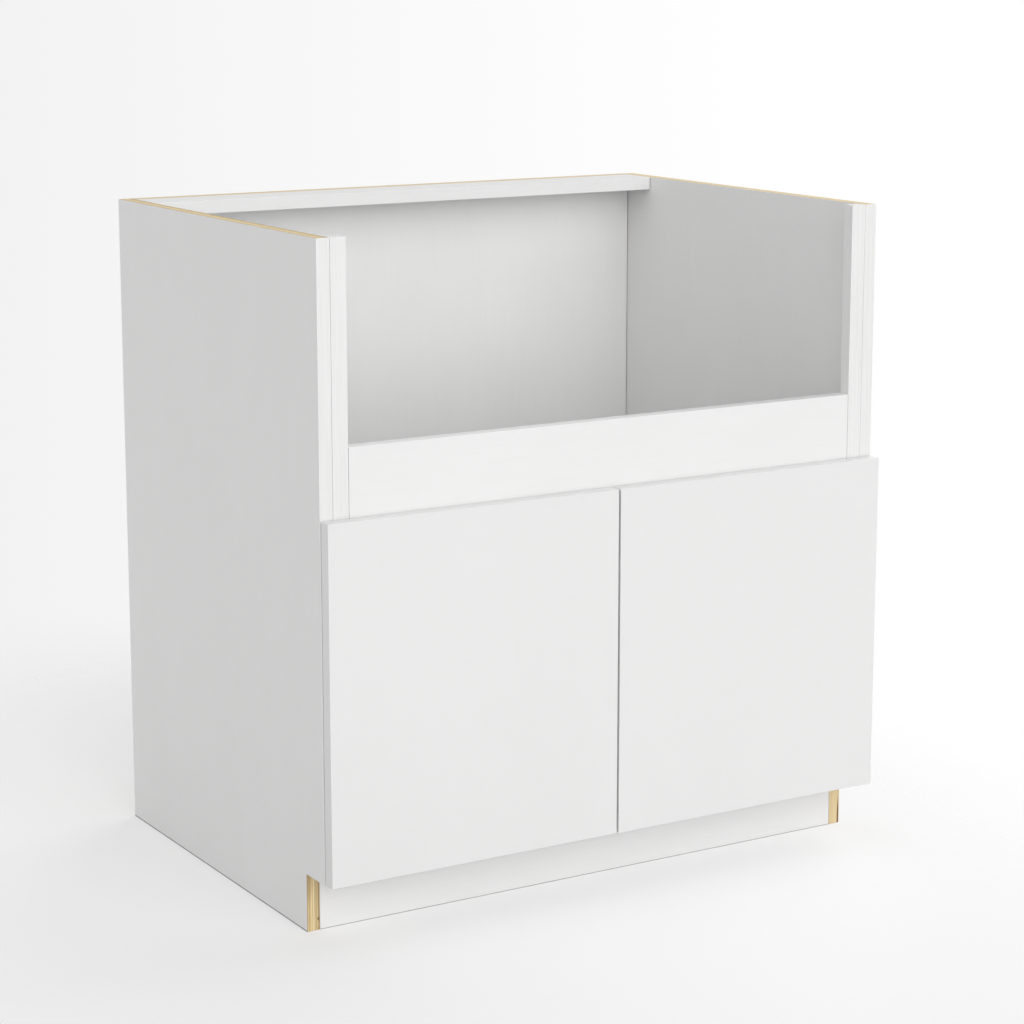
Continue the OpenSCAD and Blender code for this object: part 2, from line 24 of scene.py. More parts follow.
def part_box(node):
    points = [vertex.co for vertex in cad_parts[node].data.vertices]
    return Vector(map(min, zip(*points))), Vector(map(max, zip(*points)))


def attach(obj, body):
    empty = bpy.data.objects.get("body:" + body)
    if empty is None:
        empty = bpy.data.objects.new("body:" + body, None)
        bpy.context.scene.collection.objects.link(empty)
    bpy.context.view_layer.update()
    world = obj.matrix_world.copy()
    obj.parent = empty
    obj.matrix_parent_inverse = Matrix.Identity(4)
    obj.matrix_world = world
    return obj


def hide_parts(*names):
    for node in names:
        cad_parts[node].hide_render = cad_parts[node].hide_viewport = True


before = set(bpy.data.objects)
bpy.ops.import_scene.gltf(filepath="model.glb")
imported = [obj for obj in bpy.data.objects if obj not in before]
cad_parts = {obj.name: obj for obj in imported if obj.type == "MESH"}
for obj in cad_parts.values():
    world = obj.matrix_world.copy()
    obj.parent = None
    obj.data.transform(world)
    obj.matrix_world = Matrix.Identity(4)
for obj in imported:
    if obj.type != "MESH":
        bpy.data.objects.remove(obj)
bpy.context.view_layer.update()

# %% [markdown]
# ## The camera
#
# The photograph was taken from the left front, a little above the top edges, with a long
# lens. Its place and turn were found by matching the cabinet's corners with the corners in
# the photograph. A product photographer often keeps the camera level and shifts the lens, so
# that upright lines stay parallel. A shift that large would push the cabinet out of the
# frame whenever the camera goes round it, so here the lens looks down and shifts a little.

# %% The camera
MM = 0.001
CAMERA_PLACE = (-1.861, -3.119, 1.213)
CAMERA_TURN = math.radians(31.13)     # to the right of straight at the doors
CAMERA_TILT = math.radians(10.77)     # below the horizon
LENS_MM = 94.9
SENSOR_MM = 36.0
LENS_SHIFT = -0.05

scene = bpy.context.scene
camera_data = bpy.data.cameras.new("photo_camera")
camera_data.lens = LENS_MM
camera_data.sensor_width = SENSOR_MM
camera_data.shift_y = LENS_SHIFT
camera = bpy.data.objects.new("photo_camera", camera_data)
camera.location = CAMERA_PLACE
camera.rotation_euler = (math.pi / 2 - CAMERA_TILT, 0, -CAMERA_TURN)
scene.collection.objects.link(camera)
scene.camera = camera

# %% [markdown]
# ## Sizes from the frame
#
# Nothing here is measured twice. Each new piece asks the frame for the box of the CAD node
# that it stands for, and is built inside that box.

# %% Corners of a node
X, Y, Z = 0, 1, 2


def corners(node):
    """Lowest and highest corner of a CAD node, as two arrays in metres."""
    low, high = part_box(node)
    return np.array(low), np.array(high)


side_low, side_high = corners("left_side_panel")
deck_low, _ = corners("bottom_deck")
kick_low, _ = corners("toe_kick_board")
PLY_T = side_high[X] - side_low[X]
print("boards are", round(PLY_T / MM, 1), "mm, the toe notch", round(deck_low[Z] / MM, 1), "mm high")

# %% [markdown]
# ## A shell of points and faces
#
# A mesh in Blender is a list of points, a list of faces that name their points, and some
# values for each face. Here they are collected block by block as arrays, and go into the
# mesh in one step at the end. A face also keeps where it lies on the board, in metres, in a
# UV map named board. The plies of a sawn edge are painted from that map later.

# %% Collecting a shell
class Shell:
    """Blocks of points and faces that end up as one closed mesh."""

    def __init__(self):
        self.points = []
        self.faces = []
        self.corners = []
        self.skins = []
        self.curved = []

    def add_points(self, points):
        """Adds a block of points and returns the number of its first one."""
        first = sum(len(block) for block in self.points)
        self.points.append(points.reshape(-1, 3))
        return first

    def add_faces(self, faces, places, skin=0, curved=False):
        """Adds faces (n, m) with the place (n, m, 2) of each corner on the board."""
        self.faces += faces.tolist()
        self.corners.append(np.reshape(places, (-1, 2)))
        self.skins += [skin] * len(faces)
        self.curved += np.broadcast_to(curved, len(faces)).tolist()

    def piece(self, name, materials, body, slot, *stands_for):
        """Makes the object, lets it ride on its body and stand for its CAD nodes."""
        mesh = bpy.data.meshes.new(name)
        mesh.from_pydata(np.concatenate(self.points).tolist(), [], self.faces)
        layer = mesh.uv_layers.new(name="board")
        layer.data.foreach_set("uv", np.concatenate(self.corners).astype(np.float32).ravel())
        mesh.polygons.foreach_set("material_index", self.skins)
        mesh.polygons.foreach_set("use_smooth", self.curved)
        for material in materials:
            mesh.materials.append(material)
        made = bpy.data.objects.new(name, mesh)
        scene.collection.objects.link(made)
        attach(made, body)
        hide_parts(*stands_for)
        return made


def volume_of(made):
    """Volume of a closed mesh in cubic centimetres. It is positive if faces point outwards."""
    whole = bmesh.new()
    whole.from_mesh(made.data)
    volume = whole.calc_volume(signed=True)
    whole.free()
    return volume * 1e6


print("an empty shell holds", len(Shell().faces), "faces")

# %% [markdown]
# ## A board with softened edges
#
# A saw leaves a sharp edge, and a light sanding takes that sharpness off. The eased edge is
# only about half a millimetre, but it is what catches the light along a board and what
# draws the thin line where two boards meet. A cube with a Bevel modifier would give it too.
# Here the board is made the way a moulding is run: a short profile, an arc at each face with
# a straight stretch between, is carried round the board's outline.

# %% Outline of a board
ARC_STEPS = 4


def rectangle(low, high):
    """Corners of a rectangle, counter-clockwise."""
    return np.array([low, (high[0], low[1]), high, (low[0], high[1])], float)


def rounded(outline, radius):
    """The outline with each corner swung round as a quarter arc. Corners may differ in radius.

    With p and q the unit directions from a corner to its neighbours, an arc point is
    corner + radius * ((1 - sin t) * p + (1 - cos t) * q), for t from 0 to 90 degrees.
    """
    p = np.roll(outline, 1, 0) - outline
    q = np.roll(outline, -1, 0) - outline
    p /= np.linalg.norm(p, axis=1, keepdims=True)
    q /= np.linalg.norm(q, axis=1, keepdims=True)
    t = np.linspace(0, np.pi / 2, ARC_STEPS + 1)[None, :, None]
    swing = (1 - np.sin(t)) * p[:, None] + (1 - np.cos(t)) * q[:, None]
    arcs = outline[:, None] + np.reshape(radius, (-1, 1, 1)) * swing
    return arcs.reshape(-1, 2)


def round_corners(values):
    """One value per point of a rounded outline, from one value per edge.

    It is constant along an edge, and goes in even steps round the corner between two edges.
    """
    before = np.roll(values, 1)
    share = np.linspace(0, 1, ARC_STEPS + 1)
    return (before[:, None] + (values - before)[:, None] * share).ravel()


print("a rounded rectangle has", len(rounded(rectangle((0, 0), (1, 1)), 0.1)), "points")

# %% [markdown]
# The profile is two columns of numbers: how far in from the outline, and how deep below the
# face. A mitre at each outline point says which way is inwards there, at a corner as on a
# straight edge, and how much further a corner has to go. Both together give every point of
# the edge in one line, for all rows and columns at once.

# %% Profile of an edge
def mitres(outline):
    """For each outline point, the step that goes one unit inside both of its edges.

    With n and m the inward normals of the two edges, it is (n + m) / (1 + n . m).
    """
    edge = np.roll(outline, -1, 0) - outline
    edge /= np.linalg.norm(edge, axis=1, keepdims=True)
    after = np.stack([-edge[:, 1], edge[:, 0]], 1)
    before = np.roll(after, 1, 0)
    return (before + after) / (1 + (before * after).sum(1, keepdims=True))


def eased_profile(thickness, first_ease, last_ease):
    """Edge of a board from one face to the other: how far inside the outline, and how deep.

    Each end is a quarter arc: inset = ease * (1 - sin t) and depth = ease * (1 - cos t). An
    ease is one value, or one for each outline point. The rows of both arrays are the steps.
    """
    t = np.linspace(0, np.pi / 2, ARC_STEPS + 1)[:, None]
    inset, depth = 1 - np.sin(t), 1 - np.cos(t)
    return (
        np.concatenate([first_ease * inset, last_ease * inset[::-1]]),
        np.concatenate([first_ease * depth, thickness - last_ease * depth[::-1]]),
    )


def laid_out(flat, depth, across):
    """Points from two coordinates in the board's plane and one along its thickness."""
    points = np.empty(flat.shape[:-1] + (3,))
    points[..., (across + 1) % 3] = flat[..., 0]
    points[..., (across + 2) % 3] = flat[..., 1]
    points[..., across] = depth
    return points


def carried(outline, inset, depth, across):
    """The profile carried round the outline: P(k, i) = outline(i) + inset(k, i) * mitre(i)."""
    return laid_out(outline[None] + inset[..., None] * mitres(outline)[None], depth, across)


print("an eased edge has", len(eased_profile(PLY_T, MM, MM)[0]), "rows of points")

# %% [markdown]
# These points lie in rows and columns that run round the board like a belt. A face joins
# four neighbours, so the numbers of its corners follow from its row and column, and so does
# its place on the board map.

# %% Faces of a belt
def ring_faces(rows, columns, closed=False):
    """Quads between the rows of a grid whose columns run round and meet. Rows may meet too."""
    k, i = np.mgrid[: rows if closed else rows - 1, :columns]
    after, above = (i + 1) % columns, (k + 1) % rows
    quads = [k * columns + i, k * columns + after, above * columns + after, above * columns + i]
    return np.stack(quads, -1).reshape(-1, 4)


def ring_places(outline, depth):
    """Where those quads lie: the distance round the outline, and the depth in the board."""
    length = np.linalg.norm(np.roll(outline, -1, 0) - outline, axis=1)
    start = np.cumsum(length) - length
    k, i = np.mgrid[: len(depth) - 1, : len(outline)]
    after = (i + 1) % len(outline)
    depth = np.broadcast_to(depth, (len(depth), len(outline)))
    run = np.stack([start[i], start[i] + length[i], start[i] + length[i], start[i]], -1)
    level = np.stack([depth[k, i], depth[k, after], depth[k + 1, after], depth[k + 1, i]], -1)
    return np.stack([run, level], -1).reshape(-1, 4, 2)


print("a belt of 3 rows and 8 columns has", len(ring_faces(3, 8)), "faces")

# %% [markdown]
# The two faces of a board are flat. A face without holes is one polygon. Where a machine has
# bored a round pocket, for a hinge cup or for the cam of a knock-down fitting, the face is
# cut into triangles round the bore, and the pocket gets its wall and its floor.

# %% Faces with bores
BORE_STEPS = 64


def circle(centre, radius):
    """Points of a circle, counter-clockwise: centre + radius * (cos a, sin a)."""
    a = np.linspace(0, 2 * np.pi, BORE_STEPS, endpoint=False)
    return np.array(centre) + radius * np.stack([np.cos(a), np.sin(a)], 1)


def cap_faces(loops, facing):
    """Triangles that fill the first loop around the others, turned towards facing, 1 or -1."""
    flat = np.concatenate(loops)
    triples = tessellate_polygon([[Vector((*point, 0)) for point in loop] for loop in loops])
    triples = np.array(triples)
    a, b, c = (flat[triples[:, n]] for n in range(3))
    area = (b - a)[:, 0] * (c - a)[:, 1] - (b - a)[:, 1] * (c - a)[:, 0]
    return np.where((area * facing > 0)[:, None], triples, triples[:, ::-1])


def add_bore(shell, ring, mouth, floor, across):
    """The wall and floor of a round pocket. Returns the numbers of its rim points."""
    rim = shell.add_points(laid_out(ring, mouth, across))
    bottom = shell.add_points(laid_out(ring, floor, across))
    quads = ring_faces(2, BORE_STEPS)
    lower, upper = (bottom, rim) if mouth > floor else (rim, bottom)
    numbers = np.where(quads < BORE_STEPS, quads + lower, quads - BORE_STEPS + upper)
    places = ring_places(ring, np.array([[floor], [mouth]]))
    shell.add_faces(numbers[:, ::-1], places[:, ::-1], 0, True)
    disc = np.arange(BORE_STEPS)[None, :: 1 if mouth > floor else -1]
    shell.add_faces(bottom + disc, ring[disc], 0)
    return rim + np.arange(BORE_STEPS)


print("a bore is drawn with", len(circle((0, 0), MM)), "points")

# %% [markdown]
# Now a board is one call: its outline, the axis of its thickness, its two levels and the ease
# of its edges. The straight stretch of the profile is the sawn edge. It has a material slot
# of its own, because on plywood it stays raw.

# %% The board itself
OUTLINE_ROUND = 1.5       # radius of the outline's corners, over the ease of their edges


def board(outline, across, low, high, ease, edge_skin=0, bores=(), last_ease=None):
    """A board between two levels along one axis, with its edges eased.

    ease is one value, or one for each edge of the outline. bores holds (centre, radius,
    depth, from the high face or not) for each round pocket.
    """
    shell = Shell()
    last_ease = ease if last_ease is None else last_ease
    eases = [np.broadcast_to(values, len(outline)) for values in (ease, last_ease)]
    outline = rounded(outline, OUTLINE_ROUND * np.maximum(eases[0], np.roll(eases[0], 1)))
    inset, depth = eased_profile(high - low, *(round_corners(values) for values in eases))
    rows, columns = len(inset), len(outline)
    shell.add_points(carried(outline, inset, low + depth, across))
    quads, places = ring_faces(rows, columns), ring_places(outline, depth)
    sawn = np.repeat(np.arange(rows - 1) == ARC_STEPS, columns)
    shell.add_faces(quads[~sawn], places[~sawn], 0, True)
    shell.add_faces(quads[sawn], places[sawn], edge_skin)
    for facing, row, level in ((-1, 0, low), (1, rows - 1, high)):
        loops = [outline + inset[row][:, None] * mitres(outline)]
        numbers = [row * columns + np.arange(columns)]
        for centre, radius, deep, from_high in bores:
            if from_high == (facing == 1):
                ring = circle(centre, radius)
                loops.append(ring)
                numbers.append(add_bore(shell, ring, level, level - facing * deep, across))
        if len(loops) == 1:
            faces = np.arange(columns)[None, ::facing]
        else:
            faces = cap_faces(loops, facing)
        shell.add_faces(np.concatenate(numbers)[faces], np.concatenate(loops)[faces])
    return shell


SAWN_EASE = 0.25 * MM
trial = board(rectangle((0, 0), (0.1, 0.1)), Z, 0, PLY_T, SAWN_EASE)
print("a trial board has", len(trial.faces), "faces")

# %% [markdown]
# ## A material in code
#
# A material is a small graph of nodes. In Blender's editor each one is placed and wired by
# hand. In code one helper does it: it adds a node, sets its options and takes its inputs by
# name, each one a value or a link.

# %% Adding nodes
def fill(tree, made, inputs):
    """Fills a node's inputs, found by name or number, with values or links."""
    for name, value in inputs.items():
        if isinstance(value, bpy.types.NodeSocket):
            tree.links.new(value, made.inputs[name])
        else:
            made.inputs[name].default_value = value
    return made


def node(tree, kind, inputs=None, **settings):
    """Adds a shader node, sets its options and fills its inputs."""
    made = tree.nodes.new(kind)
    for name, value in settings.items():
        setattr(made, name, value)
    return fill(tree, made, inputs or {})


def new_material(name):
    """A material with its node tree and its Principled shader."""
    material = bpy.data.materials.new(name)
    material.use_nodes = True
    tree = material.node_tree
    return material, tree, tree.nodes["Principled BSDF"]


trial_material, _, trial_shader = new_material("trial")
print("a Principled shader has", len(trial_shader.inputs), "inputs")
bpy.data.materials.remove(trial_material)

# %% [markdown]
# Several finishes of the cabinet share the same few steps: a noise stretched along a grain,
# its middle part spread over a range, a colour between two others, a distance from a spot,
# and a relief from a height. Each becomes a helper with a plain name, so that a finish reads
# like its description.

# %% Steps that finishes share
NOISE_MIDDLE = (0.3, 0.7)     # most of a noise lies between these
MIX_SHARE, MIX_FIRST, MIX_SECOND, MIX_COLOUR = 0, 6, 7, 2     # sockets of a colour Mix node


def noise(tree, place, scale, detail=3.0, roughness=0.5):
    """Noise between 0 and 1 on a vector, which is first stretched by scale on each axis."""
    stretched = node(tree, "ShaderNodeMapping", {"Vector": place, "Scale": scale})
    inputs = {"Vector": stretched.outputs[0], "Scale": 1.0}
    inputs |= {"Detail": detail, "Roughness": roughness}
    return node(tree, "ShaderNodeTexNoise", inputs).outputs["Fac"]


def spread(tree, value, low, high):
    """The middle part of a noise, spread over low to high."""
    start, end = NOISE_MIDDLE
    inputs = {"Value": value, "From Min": start, "From Max": end, "To Min": low, "To Max": high}
    return node(tree, "ShaderNodeMapRange", inputs).outputs[0]


def product(tree, first, second):
    """Two values multiplied."""
    return node(tree, "ShaderNodeMath", {0: first, 1: second}, operation="MULTIPLY").outputs[0]


def between(tree, share, first, second):
    """The colour that lies share of the way from the first to the second."""
    inputs = {MIX_SHARE: share, MIX_FIRST: first, MIX_SECOND: second}
    return node(tree, "ShaderNodeMix", inputs, data_type="RGBA").outputs[MIX_COLOUR]


def distance(tree, place, centre, size):
    """Distance from a centre, in units of a half size that may differ along each axis."""
    inputs = {0: place, 1: centre}
    offset = node(tree, "ShaderNodeVectorMath", inputs, operation="SUBTRACT").outputs[0]
    inputs = {0: offset, 1: tuple(1 / np.array(size))}
    scaled = node(tree, "ShaderNodeVectorMath", inputs, operation="MULTIPLY").outputs[0]
    return node(tree, "ShaderNodeVectorMath", {0: scaled}, operation="LENGTH").outputs["Value"]


def slopes(tree, height, depth, strength=1.0):
    """A normal tilted by the slopes of a height between 0 and 1, which stands for depth."""
    inputs = {"Strength": strength, "Distance": depth, "Height": height}
    return node(tree, "ShaderNodeBump", inputs).outputs[0]


def grey(value, warmth=0.0):
    """A neutral colour; warmth takes a little blue out of it."""
    return (value, value * (1 - warmth / 3), value * (1 - warmth), 1)


print("a warm light grey:", [round(value, 3) for value in grey(0.8, 0.01)])

# %% [markdown]
# ## Painted plywood
#
# The boards are birch plywood with a white satin paint. A painted board isn't one flat
# white: the roller leaves broad, faint clouds, and the grain of the veneer telegraphs
# through as very fine lines along the board. Both are noise on the object's own
# coordinates, squeezed across the grain and stretched along it. The same grain gives a
# slight relief and a slight change in gloss, so that a reflection breaks up as it should.
# The last millimetre or two above the floor is darkened in the paint, a painted contact
# shadow, which draws the thin dark line that a cabinet shows where it stands.

# %% White paint
CLOUD_SIZE = 90 * MM
CLOUD_STRETCH = 2.5       # a cloud's length along the grain, over its width
CLOUD_SHADE = 0.022       # how much darker a cloud is, as a share
GRAIN_GAP = 1.6 * MM
GRAIN_LENGTH = 120 * MM
GRAIN_SHADE = 0.018       # how much darker a line of the grain is
GRAIN_RELIEF = 0.012 * MM
DARKEST = 0.9             # of the paint's white, where clouds and grain meet
WARM_DARK = 0.012         # share of blue that the darker paint lacks
WARM_LIGHT = 0.004
GLOSS_SWING = 0.05        # change in roughness from cloud to cloud, either way
FOOT_SHADOW_HEIGHT = 2.4 * MM      # height of the painted contact shadow above the floor
FOOT_SHADOW_SOLID = 1 / 3        # of that height, where the painted shadow starts to fade out
FOOT_SHADOW_DARK = 0.15          # how much of the paint's white is left in the painted shadow


def white_paint(
    name, grain_axis, white, roughness, cloud=CLOUD_SHADE, grain=GRAIN_SHADE,
    relief=GRAIN_RELIEF, gap=GRAIN_GAP, foot=FOOT_SHADOW_HEIGHT,
):
    """Satin paint on a board whose grain runs along one axis."""
    material, tree, shader = new_material(name)
    place = node(tree, "ShaderNodeTexCoord").outputs["Object"]
    fine = np.full(3, 1 / gap)
    fine[grain_axis] = 1 / GRAIN_LENGTH
    broad = np.full(3, 1 / CLOUD_SIZE)
    broad[grain_axis] /= CLOUD_STRETCH
    lines = noise(tree, place, fine, 2.0)
    clouds = noise(tree, place, broad, 4.0, 0.6)
    shade = product(tree, spread(tree, clouds, 1 - cloud, 1), spread(tree, lines, 1 - grain, 1))
    dark, light = grey(white * DARKEST, WARM_DARK), grey(white, WARM_LIGHT)
    inputs = {"Value": shade, "From Min": DARKEST, "From Max": 1.0}
    share = node(tree, "ShaderNodeMapRange", inputs).outputs[0]
    painted = between(tree, share, dark, light)
    # Painted contact shadow: the paint darkens towards the floor, below the height foot.
    height = node(tree, "ShaderNodeSeparateXYZ", {0: place}).outputs["Z"]
    start = foot * FOOT_SHADOW_SOLID
    inputs = {"Value": height, "From Min": start, "From Max": foot, "To Min": FOOT_SHADOW_DARK}
    foot_shadow = node(tree, "ShaderNodeMapRange", inputs).outputs[0]
    inputs = {0: painted, "Scale": foot_shadow}
    colour = node(tree, "ShaderNodeVectorMath", inputs, operation="SCALE").outputs[0]
    gloss = spread(tree, clouds, roughness - GLOSS_SWING, roughness + GLOSS_SWING)
    bump = slopes(tree, lines, relief)
    fill(tree, shader, {"Base Color": colour, "Roughness": gloss, "Normal": bump})
    return material


print("lines of the grain lie", round(GRAIN_GAP / MM, 1), "mm apart")

# %% [markdown]
# The rolled paint of the boards, the smoother edging and the sprayed lacquer of the doors
# are the same function with other values. The grain follows the longest side of each piece.

# %% Paints of the cabinet
WHITE = 0.82              # share of the light that the paint throws back
FRONT_WHITE = 0.81
DOOR_WHITE = 0.77
# The toe kick's white is set above the boards' white to brighten the shade under the doors: painted
# light.
KICK_LIFTED_WHITE = 0.86
SATIN = 0.5               # roughness of the paint
RAIL_SATIN = 0.55
EDGING_SATIN = 0.42
DOOR_SATIN = 0.38
# Height of the painted contact shadow at the foot of the toe kick.
KICK_FOOT_SHADOW_HEIGHT = 1.2 * MM
EDGING_GAP = 2.6 * MM
EDGING_CLOUD, EDGING_GRAIN, EDGING_LEVEL_GRAIN = 0.012, 0.055, 0.03
DOOR_CLOUD, DOOR_GRAIN, DOOR_RELIEF = 0.01, 0.004, 0.003 * MM
paint_upright = white_paint("white_paint_upright", Z, WHITE, SATIN)
paint_level = white_paint("white_paint_level", X, WHITE, SATIN)
apron_paint = white_paint("apron_paint", X, FRONT_WHITE, SATIN)
rail_paint = white_paint("rail_paint", X, FRONT_WHITE, RAIL_SATIN)
# A lighter copy of the white paint for the toe kick: painted light against the shade under the
# doors.
kick_paint_lifted = white_paint("kick_paint_lifted", X, KICK_LIFTED_WHITE, SATIN, foot=KICK_FOOT_SHADOW_HEIGHT)
edging_paint = white_paint(
    "edging_paint", Z, FRONT_WHITE, EDGING_SATIN, EDGING_CLOUD, EDGING_GRAIN, gap=EDGING_GAP
)
edging_level = white_paint(
    "edging_paint_level", X, FRONT_WHITE, EDGING_SATIN, EDGING_CLOUD, EDGING_LEVEL_GRAIN
)
door_paint = white_paint(
    "door_lacquer", Z, DOOR_WHITE, DOOR_SATIN, DOOR_CLOUD, DOOR_GRAIN, DOOR_RELIEF
)
print("white paint reflects", WHITE, "of the light")

# %% [markdown]
# ## The sawn edge of plywood
#
# Plywood is a stack of thin veneers, each turned a quarter against the next. On a sawn edge
# every other ply shows its long fibres as streaks, and the ones between show their cut
# ends as fine dots, a little darker. Thin brown glue lines lie between them. The colours
# are a ramp across the thickness. A ramp can hold the bands at their real widths, which
# noise or waves can't.

# %% Bands of plies
PLIES = (                                # share of the thickness, colour of the ply
    (0.07, "glue"), (0.09, "tan"), (0.07, "olive"), (0.09, "tan"), (0.10, "pale"),
    (0.05, "olive"), (0.10, "cream"), (0.15, "ash"), (0.07, "olive"), (0.08, "tan"),
    (0.10, "brown"), (0.03, "pale"),
)
PLY_COLOURS = {
    "glue": (0.40, 0.27, 0.13, 1),
    "olive": (0.57, 0.43, 0.21, 1),
    "tan": (0.72, 0.56, 0.30, 1),
    "pale": (0.84, 0.67, 0.39, 1),
    "cream": (0.88, 0.73, 0.44, 1),
    "ash": (0.65, 0.50, 0.27, 1),
    "brown": (0.37, 0.24, 0.10, 1),
}
RAMP_SOFT = 0.006         # half the width of a change of colour, as a share of the thickness


def ply_ramp(tree, share, softened):
    """Colours of the plies across the thickness. softened pulls them towards the pale one."""
    ramp = node(tree, "ShaderNodeValToRGB", {"Fac": share})
    elements = ramp.color_ramp.elements
    pale = np.array(PLY_COLOURS["pale"])
    edges = np.cumsum([0.0] + [width for width, _ in PLIES])
    for n, (_, key) in enumerate(PLIES):
        colour = (1 - softened) * np.array(PLY_COLOURS[key]) + softened * pale
        for position in (edges[n] + RAMP_SOFT, edges[n + 1] - RAMP_SOFT):
            elements.new(min(max(position, 0), 1)).color = colour
    elements.remove(elements[0])
    elements.remove(elements[-1])
    return ramp.outputs["Color"]


print(len(PLIES), "bands of plies and glue across", round(PLY_T / MM), "mm")

# %% [markdown]
# The ramp is read from the board map and bent slightly by noise, so that no line is
# ruler-straight. Streaks and dots multiply it. A few brown marks are laid over it: a knot, a
# burn from the saw and a faint stain. Each is an ellipsoid in space, solid in the middle and
# fading outwards, so it needs no map of its own.

# %% A sawn edge
WAVE_RATE = (40, 0, 0)        # of the noise that bends the plies, per metre along the edge
WAVE_BEND = 0.02              # as a share of the thickness, either way
STREAK_RATE = (30, 2600, 0)   # per metre along the edge and across it
STREAK_SHADE = (0.86, 1.05)
DOT_RATE = (900, 900, 0)
DOT_SHADE = (0.95, 1.03)
PLY_ROUGHNESS = 0.65
PLY_GLOSS = 0.45
PLY_RELIEF = 0.04 * MM
MARK_BROWN = (0.14, 0.055, 0.008, 1)
MARK_SOLID = 0.5              # share of a mark's half size at which it starts to fade


def sawn_plies(name, seed, softened=0.0, flip=False, marks=()):
    """A sawn plywood edge. marks holds (centre, half size, strength) of brown spots."""
    material, tree, shader = new_material(name)
    place = node(tree, "ShaderNodeUVMap", uv_map="board").outputs["UV"]
    place = node(tree, "ShaderNodeVectorMath", {0: place, 1: (seed, 0, seed)}).outputs[0]
    wave = spread(tree, noise(tree, place, WAVE_RATE, 2.0), -WAVE_BEND, WAVE_BEND)
    depth = node(tree, "ShaderNodeSeparateXYZ", {0: place}).outputs["Y"]
    low, high = (1.0, 0.0) if flip else (0.0, 1.0)
    inputs = {"Value": depth, "From Max": PLY_T, "To Min": low, "To Max": high}
    share = node(tree, "ShaderNodeMapRange", inputs).outputs[0]
    share = node(tree, "ShaderNodeMath", {0: share, 1: wave}, operation="ADD").outputs[0]
    streaks = spread(tree, noise(tree, place, STREAK_RATE, 3.0, 0.65), *STREAK_SHADE)
    dots = spread(tree, noise(tree, place, DOT_RATE, 2.0), *DOT_SHADE)
    shade = product(tree, streaks, dots)
    inputs = {0: ply_ramp(tree, share, softened), "Scale": shade}
    colour = node(tree, "ShaderNodeVectorMath", inputs, operation="SCALE").outputs[0]
    solid = node(tree, "ShaderNodeTexCoord").outputs["Object"]
    for centre, size, strength in marks:
        away = distance(tree, solid, centre, size)
        inputs = {"Value": away, "From Min": MARK_SOLID, "To Min": strength, "To Max": 0.0}
        stained = node(tree, "ShaderNodeMapRange", inputs).outputs[0]
        colour = between(tree, stained, colour, MARK_BROWN)
    bump = slopes(tree, shade, PLY_RELIEF)
    finish = {"Roughness": PLY_ROUGHNESS, "Specular IOR Level": PLY_GLOSS}
    fill(tree, shader, {"Base Color": colour, "Normal": bump, **finish})
    return material


KNOT = ((side_high[X] - 2.2 * MM, kick_low[Y], 15 * MM), (1.6 * MM, 4 * MM, 3.0 * MM), 0.85)
STAIN = ((side_low[X] + 3 * MM, kick_low[Y], 70 * MM), (6 * MM, 4 * MM, 40 * MM), 0.22)
BURN = ((-side_low[X] - 2.2 * MM, kick_low[Y], 8 * MM), (1.7 * MM, 4 * MM, 36 * MM), 0.94)
plies_left = sawn_plies("sawn_plies_left", 3.1, marks=[KNOT, STAIN])
plies_right = sawn_plies("sawn_plies_right", 7.7, softened=0.75, flip=True, marks=[BURN])
plies_back = sawn_plies("sawn_plies_back", 12.4, softened=0.2)
plies_hidden = sawn_plies("sawn_plies_hidden", 20.9)
print("darkest mark on the plies:", MARK_BROWN[:3])

# %% [markdown]
# ## The two sides
#
# A side is one sheet of plywood with a toe notch at its lower front corner. Its outline has
# six corners, so the same board function serves: the notch is only one more corner. The
# front edge is covered with a strip of white edging, a millimetre thick and rounded over,
# which is its own piece. The other edges stay raw.

# %% Sides and their edging
EDGING_ROUND = 0.8 * MM
EDGING_BACK_EASE = 0.05 * MM      # where the edging lies on the board
FOOT_EASE = 0.8 * MM
TOE_Y = kick_low[Y]
DECK_Z = deck_low[Z]


def notched_outline(low, high):
    """A side's outline in Y and Z, with the toe notch at the lower front corner."""
    front, back, top = low[Y], high[Y], high[Z]
    return np.array([
        (TOE_Y, low[Z]), (back, low[Z]), (back, top),
        (front, top), (front, DECK_Z), (TOE_Y, DECK_Z),
    ])


def make_side(hand, plies):
    """One side board with its front edging."""
    low, high = corners(f"{hand}_side_panel")
    ease = [FOOT_EASE] + 5 * [SAWN_EASE]
    side = board(notched_outline(low, high), X, low[X], high[X], ease, edge_skin=1)
    made = side.piece(
        f"{hand}_side_board", [paint_upright, plies], "carcass", "white_board", f"{hand}_side_panel"
    )
    low, high = corners(f"{hand}_side_edge_band")
    shape = rectangle(low[[Z, X]], high[[Z, X]])
    strip = board(shape, Y, low[Y], high[Y], EDGING_ROUND, last_ease=EDGING_BACK_EASE)
    strip.piece(
        f"{hand}_front_edging", [edging_paint], "carcass", "edge_band", f"{hand}_side_edge_band"
    )
    return made


sides = [make_side("left", plies_left), make_side("right", plies_right)]
for made in sides:
    print(made.name, "holds", round(volume_of(made)), "cubic cm of plywood")

# %% [markdown]
# ## Where the fittings sit
#
# Like fittings share one CAD node, so a bore that has to meet each of them needs to know
# where they are. The node's mesh tells: points that an edge joins belong to one solid.

